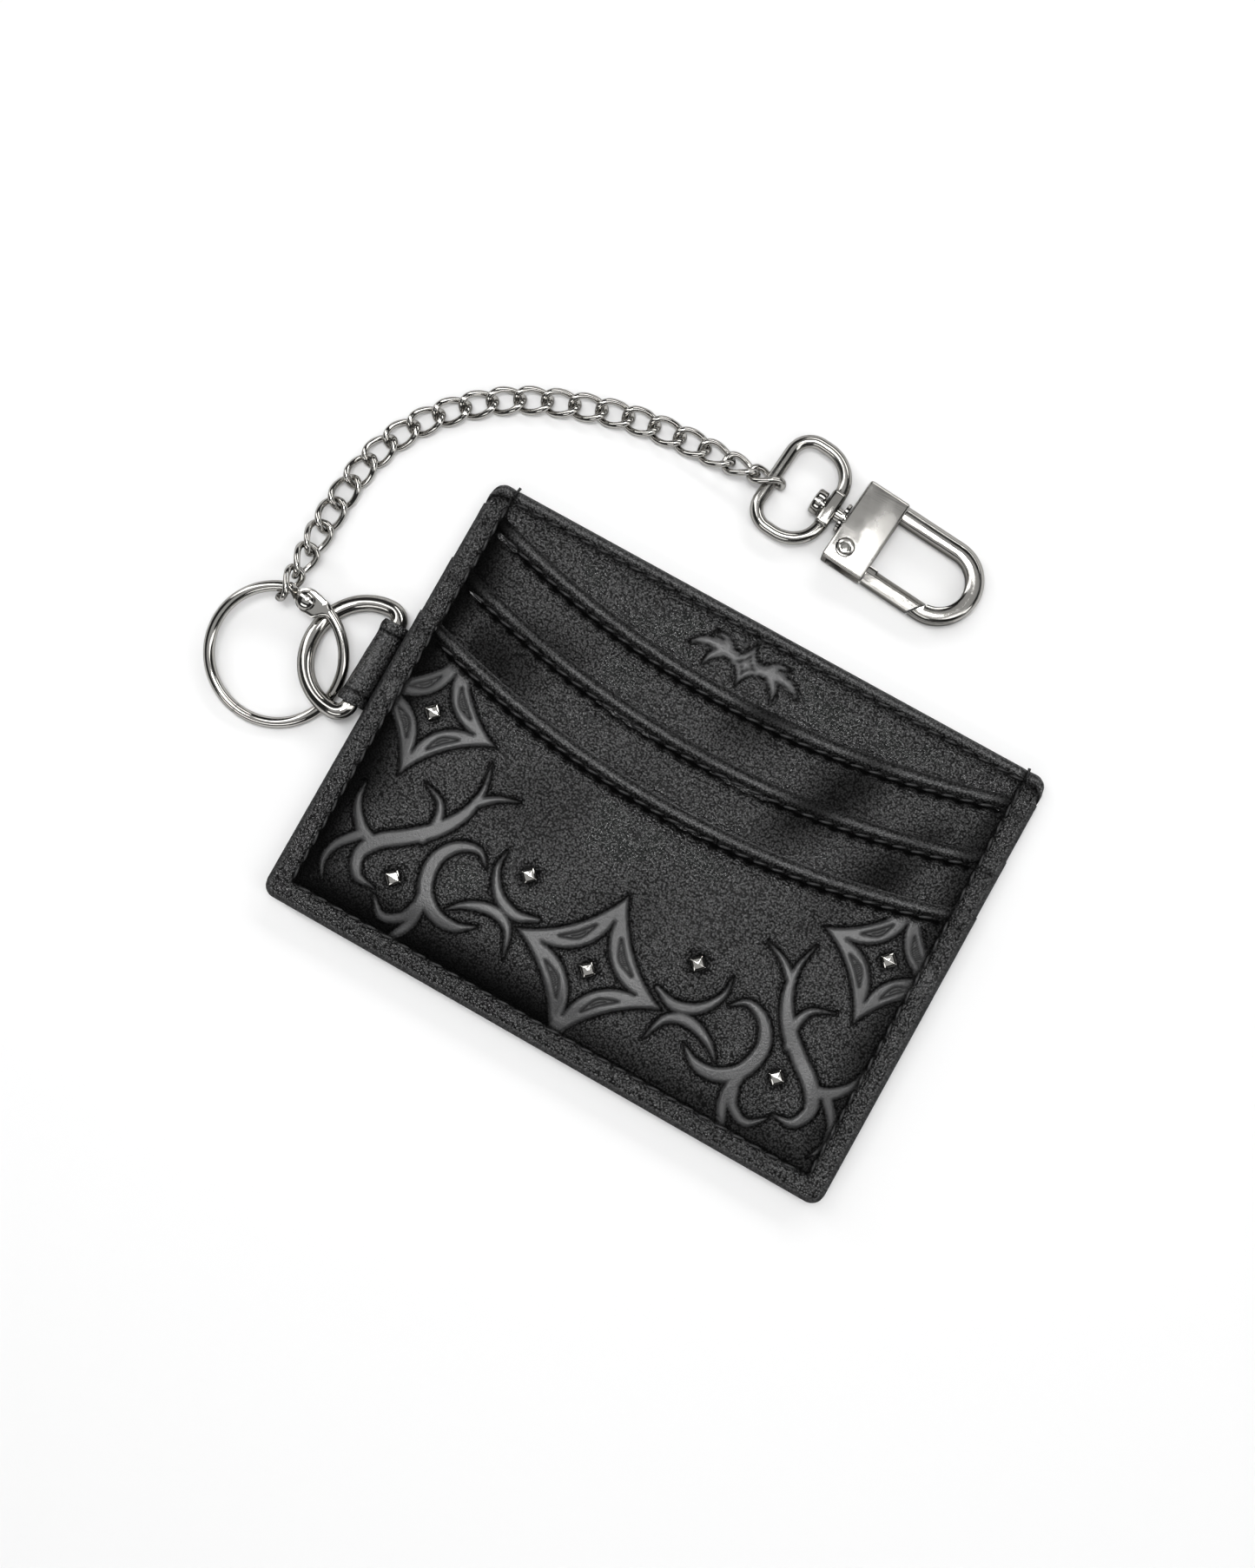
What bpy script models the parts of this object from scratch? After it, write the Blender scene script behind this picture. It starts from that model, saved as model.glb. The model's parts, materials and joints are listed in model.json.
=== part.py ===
"""Chain wallet: a sewn leather card wallet with a D-ring, a hinged ring, a curb chain and a swivel hook.

The wallet lies on its back at z = 0 with the origin under its centre. +X runs along the long side,
+Y towards the slot mouths, +Z out of the decorated front. Sizes below are millimetres; MM turns them
into metres.
"""
import math

import bmesh
import bpy
from mathutils import Matrix, Vector

MM = 0.001

# Wallet body
WALLET_LENGTH = 100.0
WALLET_HEIGHT = 75.6
CORNER_RADIUS = 2.2
LEATHER = 0.8
LAYER_GAP = 0.15
LINING = 0.25
SEAM_INSET = 3.6
MOUTH_RISE = 7.0
MOUTH_HALF = 46.0
BEAD_RADIUS = 0.5
THREAD_RADIUS = 0.26

# Each layer of the wallet: lower and upper face
BACK_Z = (0.0, 0.8)
LINING_BACK_Z = (0.95, 1.2)
LINING_FRONT_Z = (1.35, 1.6)
FRONT_Z = (1.75, 2.5)
UPPER_Z = (2.65, 3.3)
MIDDLE_Z = (3.45, 4.1)
LOWER_Z = (4.25, 5.0)

# Height of each slot mouth at its middle
UPPER_MOUTH = 26.0
MIDDLE_MOUTH = 15.8
LOWER_MOUTH = 5.9

# Pyramid studs on the lower panel
STUD_HALF = 1.35
STUD_HEIGHT = 1.0
STUD_POST = 0.42
STUD_HOLE = 0.55
STUD_PLACES = (
    (-40.0, 0.0),
    (-32.5, -25.8),
    (-14.0, -15.0),
    (1.2, -23.3),
    (15.7, -14.0),
    (34.8, -23.4),
    (41.2, 0.9),
)

# Leather tab and D-ring
BAR_X = -52.4
BAR_Y = 1.9
BAR_Z = 3.35
D_SLOPE_X = 0.11
D_SLOPE_Y = -0.135
D_WIRE = 1.35
D_HALF_WIDTH = 9.4
D_REACH = 9.15
D_CORNER = 2.1
TAB_LOW_Y = -5.2
TAB_HIGH_Y = 9.5
TAB_BORE = 1.5
TAB_LEATHER = 0.8

# Hinged ring
RING_CENTRE = (-67.1, -4.15, 2.95)
RING_RADIUS = 10.95
RING_WIRE = 0.9
RING_TILT = 10.0
RING_HIGH_SIDE = 113.0
RING_RIVET = (0.4, 10.05)
RING_PARTING = 260.6

# Chain
LINK_COUNT = 22
LINK_PITCH = 4.47
LINK_HALF_LENGTH = 2.825
LINK_HALF_WIDTH = 1.875
LINK_WIRE = 0.525
LINK_SQUARENESS = 2.5
LINK_TWIST = 45.0
CHAIN_START = (-70.4, 4.49)
CHAIN_ROUTE = (
    (-70.4, 8.9),
    (-70.75, 13.6),
    (-71.1, 22.0),
    (-70.1, 31.0),
    (-66.6, 39.0),
    (-60.6, 46.0),
    (-53.4, 51.2),
    (-45.0, 54.7),
    (-36.2, 57.1),
    (-27.0, 58.15),
    (-18.0, 58.4),
    (-8.8, 59.0),
)
JOINT_HEIGHTS = {0: 5.4, 1: 4.6, 2: 3.55, 3: 2.6, 4: 1.9, 5: 1.45, 19: 1.5, 20: 1.85, 21: 2.35, 22: 2.65}
JOINT_HEIGHT = 1.32
LINK_ROLLS = {1: 82.0, 2: 62.0, 3: 42.0, 4: 22.0, 5: 6.0, 19: -4.0, 20: -22.0, 21: -42.0, 22: -62.0}

# Swivel hook, in its own frame: u along the hook, v across it, origin on the housing's rear face
HOOK_ORIGIN = (1.9, 58.9)
HOOK_HEADING = -5.0
HOOK_Z = 2.5
LOOP_WIRE = 1.05
LOOP_BAR_U = -13.3
LOOP_HALF_WIDTH = 8.0
LOOP_CORNER = 3.5
BOSS_U = (-4.1, -1.8)
BOSS_HALF = 3.0
STUD_SHAFT = 1.1
HOUSING_U = (0.0, 7.4)
HOUSING_HALF = 7.15
HOUSING_THICK = 5.0
HOUSING_WALL = 0.9
GATE_PIVOT = (2.5, -4.2)
BOW_HALF_WIDTH = 5.7
BOW_BAR_WIDTH = 2.8
BOW_BAR_THICK = 3.0
BOW_BEND_U = 17.7


# ---------------------------------------------------------------- scene and shared helpers

def start_scene():
    """Empty the scene and make the two collections."""
    for item in list(bpy.data.objects):
        bpy.data.objects.remove(item)
    parts = bpy.data.collections.new("chain_wallet")
    cutters = bpy.data.collections.new("cutters")
    bpy.context.scene.collection.children.link(parts)
    bpy.context.scene.collection.children.link(cutters)
    return parts, cutters


PARTS, CUTTERS = start_scene()


def plain_material(name, color, metallic, roughness):
    """A Principled material."""
    made = bpy.data.materials.new(name)
    made.use_nodes = True
    shader = made.node_tree.nodes["Principled BSDF"]
    shader.inputs["Base Color"].default_value = (*color, 1.0)
    shader.inputs["Metallic"].default_value = metallic
    shader.inputs["Roughness"].default_value = roughness
    return made


def add_part(name, bm, material, collection=PARTS):
    """Turn a bmesh in millimetres into a named object in metres."""
    bmesh.ops.scale(bm, vec=(MM, MM, MM), verts=bm.verts)
    bmesh.ops.remove_doubles(bm, verts=bm.verts, dist=0.000004)
    bmesh.ops.recalc_face_normals(bm, faces=bm.faces)
    mesh = bpy.data.meshes.new(name)
    bm.to_mesh(mesh)
    bm.free()
    if material is not None:
        mesh.materials.append(material)
    made = bpy.data.objects.new(name, mesh)
    collection.objects.link(made)
    return made


def add_cutter(name, bm):
    """A cutting body, kept out of the render."""
    made = add_part(name, bm, None, CUTTERS)
    made.hide_render = True
    made.display_type = "WIRE"
    return made


def apply_boolean(target, other, operation):
    """Run one exact Boolean on the target and keep its mesh."""
    modifier = target.modifiers.new("cut", "BOOLEAN")
    modifier.operation = operation
    modifier.solver = "EXACT"
    modifier.object = other
    depsgraph = bpy.context.evaluated_depsgraph_get()
    mesh = bpy.data.meshes.new_from_object(target.evaluated_get(depsgraph))
    target.modifiers.clear()
    target.data = mesh
    mesh.name = target.name


def cut(target, other):
    """Take the other body away from the target."""
    apply_boolean(target, other, "DIFFERENCE")


def weld(target, other):
    """Join the other body onto the target and drop it."""
    apply_boolean(target, other, "UNION")
    bpy.data.objects.remove(other)


def prism(outline, low, high):
    """A bmesh prism over a closed outline in XY."""
    bm = bmesh.new()
    corners = [bm.verts.new((x, y, low)) for x, y in outline]
    base = bm.faces.new(corners)
    grown = bmesh.ops.extrude_face_region(bm, geom=[base])
    top = [item for item in grown["geom"] if isinstance(item, bmesh.types.BMVert)]
    bmesh.ops.translate(bm, vec=(0.0, 0.0, high - low), verts=top)
    return bm


def block(low, high):
    """A bmesh box between two corners."""
    bm = bmesh.new()
    size = [b - a for a, b in zip(low, high)]
    middle = [(a + b) / 2 for a, b in zip(low, high)]
    matrix = Matrix.Translation(middle) @ Matrix.Diagonal((*size, 1.0))
    bmesh.ops.create_cube(bm, size=1.0, matrix=matrix)
    return bm


def rod(radius, start, end, segments=12):
    """A bmesh cylinder between two points."""
    start = Vector(start)
    end = Vector(end)
    along = end - start
    turn = along.to_track_quat("Z", "Y").to_matrix().to_4x4()
    matrix = Matrix.Translation((start + end) / 2) @ turn
    bm = bmesh.new()
    bmesh.ops.create_cone(
        bm, cap_ends=True, segments=segments, radius1=radius, radius2=radius,
        depth=along.length, matrix=matrix,
    )
    return bm


def turned(profile, segments=16):
    """A bmesh lathe body about Z; the profile runs from the axis to the axis as (radius, height)."""
    bm = bmesh.new()
    points = [bm.verts.new((radius, 0.0, height)) for radius, height in profile]
    edges = [bm.edges.new(pair) for pair in zip(points, points[1:])]
    bmesh.ops.spin(
        bm, geom=points + edges, axis=(0.0, 0.0, 1.0), cent=(0.0, 0.0, 0.0),
        angle=math.tau, steps=segments, use_merge=True,
    )
    bmesh.ops.remove_doubles(bm, verts=bm.verts, dist=0.001)
    return bm


def wire(points, radius, closed=False, resolution=2):
    """A bmesh round wire swept along points."""
    curve = bpy.data.curves.new("path", "CURVE")
    curve.dimensions = "3D"
    curve.bevel_depth = radius
    curve.bevel_resolution = resolution
    curve.use_fill_caps = not closed
    spline = curve.splines.new("POLY")
    spline.points.add(len(points) - 1)
    for knot, place in zip(spline.points, points):
        knot.co = (*place, 1.0)
    spline.use_cyclic_u = closed
    holder = bpy.data.objects.new("path", curve)
    PARTS.objects.link(holder)
    depsgraph = bpy.context.evaluated_depsgraph_get()
    mesh = bpy.data.meshes.new_from_object(holder.evaluated_get(depsgraph))
    bpy.data.objects.remove(holder)
    bm = bmesh.new()
    bm.from_mesh(mesh)
    bmesh.ops.remove_doubles(bm, verts=bm.verts, dist=0.001)
    return bm


def moved(bm, matrix):
    """Place a bmesh with a matrix."""
    bmesh.ops.transform(bm, matrix=matrix, verts=bm.verts)
    return bm


def arc(centre, radius, start, end, steps):
    """Points along a circular arc in degrees, both ends included."""
    points = []
    for index in range(steps + 1):
        angle = math.radians(start + (end - start) * index / steps)
        points.append((centre[0] + radius * math.cos(angle), centre[1] + radius * math.sin(angle)))
    return points


def set_origin(made, place):
    """Put an object's origin on its joint without moving its mesh."""
    offset = Vector(place) * MM
    made.data.transform(Matrix.Translation(-offset))
    made.location = offset


# ---------------------------------------------------------------- materials

BLACK_LEATHER = plain_material("black_leather", (0.012, 0.012, 0.013), 0.0, 0.5)
BLACK_LINING = plain_material("black_lining", (0.02, 0.02, 0.022), 0.0, 0.9)
BLACK_THREAD = plain_material("black_thread", (0.01, 0.01, 0.011), 0.0, 0.7)
POLISHED_NICKEL = plain_material("polished_nickel", (0.72, 0.72, 0.71), 1.0, 0.16)
CAST_NICKEL = plain_material("cast_nickel", (0.62, 0.62, 0.62), 1.0, 0.26)
SPRING_STEEL = plain_material("spring_steel", (0.5, 0.5, 0.5), 1.0, 0.35)


# ---------------------------------------------------------------- wallet panels

def mouth_height(x, middle):
    """Height of a slot mouth above the wallet's centre line."""
    inside = min(abs(x), MOUTH_HALF)
    return middle + MOUTH_RISE * (inside / MOUTH_HALF) ** 2


def plain_outline(inset):
    """Rounded rectangle of the wallet, pulled in by an inset."""
    half_x = WALLET_LENGTH / 2 - inset
    half_y = WALLET_HEIGHT / 2 - inset
    radius = CORNER_RADIUS
    outline = []
    outline += arc((half_x - radius, half_y - radius), radius, 0, 90, 4)
    outline += arc((-half_x + radius, half_y - radius), radius, 90, 180, 4)
    outline += arc((-half_x + radius, -half_y + radius), radius, 180, 270, 4)
    outline += arc((half_x - radius, -half_y + radius), radius, 270, 360, 4)
    return outline


def mouth_line(middle, steps=16):
    """Points along one slot mouth, from right to left."""
    line = []
    for index in range(steps + 1):
        x = MOUTH_HALF - 2 * MOUTH_HALF * index / steps
        line.append((x, mouth_height(x, middle)))
    return line


def slot_outline(middle):
    """A panel with rounded lower corners and a dipped upper mouth."""
    half_x = WALLET_LENGTH / 2
    half_y = WALLET_HEIGHT / 2
    radius = CORNER_RADIUS
    end = middle + MOUTH_RISE + 0.4
    outline = [(half_x, end)]
    outline += mouth_line(middle)
    outline += [(-half_x, end)]
    outline += arc((-half_x + radius, -half_y + radius), radius, 180, 270, 4)
    outline += arc((half_x - radius, -half_y + radius), radius, 270, 360, 4)
    return outline


def back_panel():
    """Outer back leather of the wallet."""
    return add_part("back_panel", prism(plain_outline(0.0), *BACK_Z), BLACK_LEATHER)


def pocket_linings():
    """Two cloth faces of the note pocket, set in from the seam."""
    add_part("pocket_lining_back", prism(plain_outline(5.2), *LINING_BACK_Z), BLACK_LINING)
    add_part("pocket_lining_front", prism(plain_outline(5.2), *LINING_FRONT_Z), BLACK_LINING)


def front_panel():
    """Leather behind the slots that shows above the upper mouth."""
    return add_part("front_panel", prism(plain_outline(0.0), *FRONT_Z), BLACK_LEATHER)


def slot_panel(name, middle, layer):
    """A card slot's leather with its turned upper edge."""
    made = add_part(name, prism(slot_outline(middle), *layer), BLACK_LEATHER)
    height = layer[0] + BEAD_RADIUS - 0.03
    path = [(x, y - 0.3, height) for x, y in mouth_line(middle, 20)]
    bead = add_part("bead", wire(path, BEAD_RADIUS), BLACK_LEATHER)
    weld(made, bead)
    return made


def lower_panel():
    """Front slot leather, punched for the studs."""
    made = slot_panel("slot_panel_lower", LOWER_MOUTH, LOWER_Z)
    for x, y in STUD_PLACES:
        cut(made, add_cutter("stud_hole", rod(STUD_HOLE, (x, y, 4.0), (x, y, 5.5), 8)))
    return made


def pyramid_stud(name, place):
    """A four-point pyramid with hollow sides on a short post."""
    x, y = place
    base = LOWER_Z[1] + 0.06
    bm = bmesh.new()
    matrix = Matrix.Translation((x, y, base + STUD_HEIGHT / 2))
    bmesh.ops.create_cone(
        bm, cap_ends=True, segments=8, radius1=STUD_HALF, radius2=0.12, depth=STUD_HEIGHT, matrix=matrix,
    )
    for vert in bm.verts:
        offset = Vector((vert.co.x - x, vert.co.y - y, 0.0))
        on_corner = min(abs(offset.x), abs(offset.y)) < 0.05
        if not on_corner:
            vert.co -= offset * 0.3
    made = add_part(name, bm, POLISHED_NICKEL)
    post = rod(STUD_POST, (x, y, LOWER_Z[0] + 0.05), (x, y, base + 0.3), 8)
    weld(made, add_part("post", post, POLISHED_NICKEL))
    return made


def surface_height(x, y):
    """Top of the leather stack at a point."""
    for middle, layer in ((LOWER_MOUTH, LOWER_Z), (MIDDLE_MOUTH, MIDDLE_Z), (UPPER_MOUTH, UPPER_Z)):
        edge = middle + MOUTH_RISE + 0.4 if abs(x) > MOUTH_HALF else mouth_height(x, middle)
        if y < edge + 0.6:
            return layer[1]
    return FRONT_Z[1]


def threads():
    """Visible seam threads: round the sides and foot, along the top, and under each mouth."""
    seam_x = WALLET_LENGTH / 2 - SEAM_INSET
    low_y = -WALLET_HEIGHT / 2 + SEAM_INSET
    lift = THREAD_RADIUS + 0.05
    heights = [35.0, 34.6, 33.7, 24.6, 23.7, 14.4, 13.5, -33.0]
    side = [(y, surface_height(seam_x + 0.5, y) + lift) for y in heights]
    path = [(-seam_x, y, z) for y, z in side]
    path += [(-seam_x + 1.2, low_y, LOWER_Z[1] + lift), (seam_x - 1.2, low_y, LOWER_Z[1] + lift)]
    path += [(seam_x, y, z) for y, z in reversed(side)]
    add_part("thread_sides", wire(path, THREAD_RADIUS, resolution=1), BLACK_THREAD)
    height = FRONT_Z[1] + lift
    path = [(-seam_x, 36.0, height), (seam_x, 36.0, height)]
    add_part("thread_top", wire(path, THREAD_RADIUS, resolution=1), BLACK_THREAD)
    mouths = (("upper", UPPER_MOUTH, UPPER_Z), ("middle", MIDDLE_MOUTH, MIDDLE_Z), ("lower", LOWER_MOUTH, LOWER_Z))
    for name, middle, layer in mouths:
        path = []
        for x, y in mouth_line(middle, 14):
            path.append((x * 0.975, mouth_height(x * 0.975, middle) - 2.1, layer[1] + lift))
        add_part("thread_mouth_" + name, wire(path, THREAD_RADIUS, resolution=1), BLACK_THREAD)


# ---------------------------------------------------------------- tab and D-ring

def bar_point(y):
    """A point on the D-ring bar's axis."""
    return Vector((BAR_X, y, BAR_Z + D_SLOPE_Y * (y - BAR_Y)))


def ring_tab():
    """Leather loop sewn between the layers that holds the D-ring's bar."""
    outer = TAB_BORE + TAB_LEATHER
    root_low = LINING_BACK_Z[0]
    root_high = LINING_FRONT_Z[1]
    edge = -WALLET_LENGTH / 2 - 0.12
    outline = [(-45.6, root_low), (-45.6, root_high), (edge, root_high)]
    outline += [(x, z) for x, z in arc((BAR_X, BAR_Z), outer, 0, 270, 18)]
    outline += [(edge, root_low)]
    bm = prism(outline, 0.0, TAB_HIGH_Y - TAB_LOW_Y)
    upright = Matrix(((1, 0, 0, 0), (0, 0, 1, TAB_LOW_Y), (0, 1, 0, 0), (0, 0, 0, 1)))
    moved(bm, upright)
    for vert in bm.verts:
        if vert.co.x < edge - 0.01 or vert.co.z > root_high + 0.01:
            vert.co.z += D_SLOPE_Y * (vert.co.y - BAR_Y)
    made = add_part("ring_tab", bm, BLACK_LEATHER)
    bore = rod(TAB_BORE, bar_point(TAB_LOW_Y - 3), bar_point(TAB_HIGH_Y + 3), 20)
    cut(made, add_cutter("tab_bore", bore))
    return made


def d_ring():
    """Cast D-ring: straight bar in the tab, round bow outside."""
    bow_x = BAR_X - D_CORNER
    straight = D_HALF_WIDTH - D_CORNER
    flat = [(BAR_X, BAR_Y - straight), (BAR_X, BAR_Y + straight)]
    flat += arc((bow_x, BAR_Y + straight), D_CORNER, 22.5, 67.5, 2)
    for index in range(21):
        angle = math.radians(90 + 180 * index / 20)
        flat.append((bow_x + D_REACH * math.cos(angle), BAR_Y + D_HALF_WIDTH * math.sin(angle)))
    flat += arc((bow_x, BAR_Y - straight), D_CORNER, 292.5, 337.5, 2)
    points = []
    for x, y in flat:
        points.append((x, y, BAR_Z + D_SLOPE_X * (x - BAR_X) + D_SLOPE_Y * (y - BAR_Y)))
    made = add_part("d_ring", wire(points, D_WIRE, closed=True), CAST_NICKEL)
    set_origin(made, bar_point(BAR_Y))
    return made


# ---------------------------------------------------------------- hinged ring

def ring_matrix():
    """From the ring's own plane to the world."""
    level = math.radians(RING_HIGH_SIDE - 90)
    axis = Vector((math.cos(level), math.sin(level), 0.0))
    return Matrix.Translation(RING_CENTRE) @ Matrix.Rotation(math.radians(RING_TILT), 4, axis)


def disc_hull(discs, low, high):
    """A flat plate stretched round several discs (x, y, radius)."""
    bm = bmesh.new()
    for x, y, radius in discs:
        for height in (low, high):
            matrix = Matrix.Translation((x, y, height))
            bmesh.ops.create_circle(bm, segments=16, radius=radius, matrix=matrix)
    result = bmesh.ops.convex_hull(bm, input=bm.verts)
    inside = [item for item in result["geom_interior"] if isinstance(item, bmesh.types.BMVert)]
    bmesh.ops.delete(bm, geom=inside, context="VERTS")
    return bm


def ring_arc(start, end, steps):
    """Points along the ring's centre line in its own plane."""
    return [(x, y, 0.0) for x, y in arc((0.0, 0.0), RING_RADIUS, start, end, steps)]


def ring_hinged_half():
    """Right half of the ring with the flattened plate that takes the rivet."""
    x, y = RING_RIVET
    made = add_part("ring_hinged_half", wire(ring_arc(RING_PARTING - 359.6, 71, 20), RING_WIRE), CAST_NICKEL)
    plate = disc_hull(((x, y, 2.1), (3.0, 10.0, 1.9), (5.1, 9.65, 0.9)), 0.08, 1.08)
    weld(made, add_part("plate", plate, CAST_NICKEL))
    cut(made, add_cutter("rivet_hole", rod(0.65, (x, y, -2), (x, y, 2), 12)))
    made.data.transform(ring_world())
    set_origin(made, RING_CENTRE)
    return made


def ring_world():
    """The ring matrix with its shift in metres."""
    matrix = ring_matrix()
    matrix.translation = matrix.translation * MM
    return matrix


def ring_opening_half():
    """Left half of the ring, which swings open on the rivet."""
    x, y = RING_RIVET
    made = add_part("ring_opening_half", wire(ring_arc(104.5, RING_PARTING - 0.4, 18), RING_WIRE), CAST_NICKEL)
    wire_end = (RING_RADIUS * math.cos(math.radians(107)), RING_RADIUS * math.sin(math.radians(107)))
    lug = disc_hull(((x, y, 1.9), (*wire_end, 0.4)), -0.85, -0.07)
    weld(made, add_part("lug", lug, CAST_NICKEL))
    cut(made, add_cutter("lug_hole", rod(0.65, (x, y, -2), (x, y, 2), 12)))
    made.data.transform(ring_world())
    set_origin(made, ring_rivet_place())
    return made


def ring_rivet_place():
    """World place of the ring's rivet, in millimetres."""
    return ring_matrix() @ Vector((*RING_RIVET, 0.0))


def ring_rivet():
    """Domed rivet through both ring plates."""
    profile = [(0.0, 2.0), (0.8, 1.9), (1.35, 1.6), (1.6, 1.18), (0.55, 1.18)]
    profile += [(0.55, -1.1), (1.25, -1.1), (1.05, -1.5), (0.0, -1.6)]
    bm = moved(turned(profile), Matrix.Translation((*RING_RIVET, 0.0)))
    return add_part("ring_rivet", moved(bm, ring_matrix()), POLISHED_NICKEL)


# ---------------------------------------------------------------- chain

def route_point(route, distance):
    """Point at a distance along a smooth line through the route."""
    count = 12
    before = None
    travelled = 0.0
    for index in range(len(route) - 1):
        p1 = Vector(route[index])
        p2 = Vector(route[index + 1])
        p0 = Vector(route[index - 1]) if index else p1 * 2 - p2
        p3 = Vector(route[index + 2]) if index + 2 < len(route) else p2 * 2 - p1
        for step in range(count + 1):
            t = step / count
            place = (
                p1 * 2 + (p2 - p0) * t + (p0 * 2 - p1 * 5 + p2 * 4 - p3) * t ** 2
                + (p1 * 3 - p0 - p2 * 3 + p3) * t ** 3
            ) / 2
            if before is not None:
                length = (place - before).length
                if travelled + length >= distance and length > 0:
                    return before + (place - before) * ((distance - travelled) / length)
                travelled += length
            before = place
    return before


def chain_joints():
    """Where each pair of neighbours meets: the ring, 21 link pairs, then the hook's loop."""
    places = []
    first = Vector(CHAIN_START)
    places.append(Vector((*first, JOINT_HEIGHTS[0])))
    travelled = 0.0
    route = (CHAIN_START,) + CHAIN_ROUTE
    for index in range(1, LINK_COUNT + 1):
        height = JOINT_HEIGHTS.get(index, JOINT_HEIGHT)
        last = places[-1]
        while travelled < 200.0:
            flat = route_point(route, travelled)
            place = Vector((*flat, height))
            if (place - last).length >= LINK_PITCH:
                break
            travelled += 0.02
        reach = last + (place - last).normalized() * LINK_PITCH
        places.append(reach)
    return places


def link_points(segments=18):
    """Centre line of one twisted curb link about its own middle."""
    points = []
    power = 2.0 / LINK_SQUARENESS
    for index in range(segments):
        angle = math.tau * (index + 0.5) / segments
        c = math.cos(angle)
        s = math.sin(angle)
        x = LINK_HALF_LENGTH * math.copysign(abs(c) ** power, c)
        y = LINK_HALF_WIDTH * math.copysign(abs(s) ** power, s)
        twist = math.radians(-LINK_TWIST * x / LINK_HALF_LENGTH)
        points.append(Vector((x, y * math.cos(twist), y * math.sin(twist))))
    return points


def link_matrix(start, end, roll):
    """Frame of a link: X along the chain, Y to its left, rolled about X."""
    along = (end - start).normalized()
    left = Vector((0.0, 0.0, 1.0)).cross(along).normalized()
    up = along.cross(left)
    turn = Matrix((along, left, up)).transposed().to_4x4()
    return Matrix.Translation((start + end) / 2) @ turn @ Matrix.Rotation(math.radians(roll), 4, "X")


def chain_links():
    """The chain, each link a separate twisted wire oval."""
    places = chain_joints()
    for index in range(1, LINK_COUNT + 1):
        matrix = link_matrix(places[index - 1], places[index], LINK_ROLLS.get(index, 0.0))
        points = [matrix @ point for point in link_points()]
        made = add_part("chain_link_%02d" % index, wire(points, LINK_WIRE, closed=True), POLISHED_NICKEL)
        set_origin(made, places[index - 1])


# ---------------------------------------------------------------- swivel hook

def hook_matrix():
    """From the hook's own frame (u, v, height above its centre plane) to the world, in millimetres."""
    place = Matrix.Translation((*HOOK_ORIGIN, HOOK_Z))
    return place @ Matrix.Rotation(math.radians(HOOK_HEADING), 4, "Z")


def hook_world():
    """The hook matrix with its shift in metres."""
    matrix = hook_matrix()
    matrix.translation = matrix.translation * MM
    return matrix


def place_on_hook(made, origin):
    """Carry a part from the hook's frame to the world and set its origin there."""
    made.data.transform(hook_world())
    set_origin(made, hook_matrix() @ Vector(origin))
    return made


def swivel_loop():
    """Wire loop for the last chain link, with a bored boss for the swivel stud."""
    corner_v = LOOP_HALF_WIDTH - LOOP_CORNER
    corner_u = LOOP_BAR_U + LOOP_CORNER
    upper = [(-2.95, 2.4)]
    for index in range(9):
        angle = math.radians(4 + 86 * index / 8)
        upper.append((-8.5 + 5.6 * math.cos(angle), 2.8 + 5.2 * math.sin(angle)))
    upper += arc((corner_u, corner_v), LOOP_CORNER, 90, 180, 6)
    lower = [(u, -v) for u, v in reversed(upper)]
    points = [(u, v, 0.0) for u, v in upper + lower]
    made = add_part("swivel_loop", wire(points, LOOP_WIRE), CAST_NICKEL)
    boss = block((BOSS_U[0], -BOSS_HALF, -1.75), (BOSS_U[1], BOSS_HALF, 1.75))
    bmesh.ops.bevel(boss, geom=boss.edges, offset=0.4, segments=1, affect="EDGES", profile=0.5, material=-1)
    weld(made, add_part("boss", boss, CAST_NICKEL))
    bore = rod(STUD_SHAFT + 0.08, (BOSS_U[0] - 1, 0, 0), (BOSS_U[1] + 1, 0, 0), 16)
    cut(made, add_cutter("boss_bore", bore))
    return place_on_hook(made, (LOOP_BAR_U, 0.0, 0.0))


def swivel_stud():
    """Headed pin that the loop turns on, set into the housing."""
    profile = [(0.0, 6.0), (1.8, 6.0), (2.1, 5.7), (2.1, 4.3), (STUD_SHAFT, 4.3), (STUD_SHAFT, -1.8), (0.0, -1.8)]
    bm = moved(turned(profile), Matrix.Rotation(math.radians(-90), 4, "Y"))
    return place_on_hook(add_part("swivel_stud", bm, POLISHED_NICKEL), (0.0, 0.0, 0.0))


def swivel_washer():
    """Thin washer between the boss and the housing."""
    profile = [(1.2, 0.2), (2.5, 0.2), (2.5, 0.8), (1.2, 0.8), (1.2, 0.2)]
    bm = moved(turned(profile), Matrix.Rotation(math.radians(-90), 4, "Y"))
    return place_on_hook(add_part("swivel_washer", bm, POLISHED_NICKEL), (0.0, 0.0, 0.0))


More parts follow.
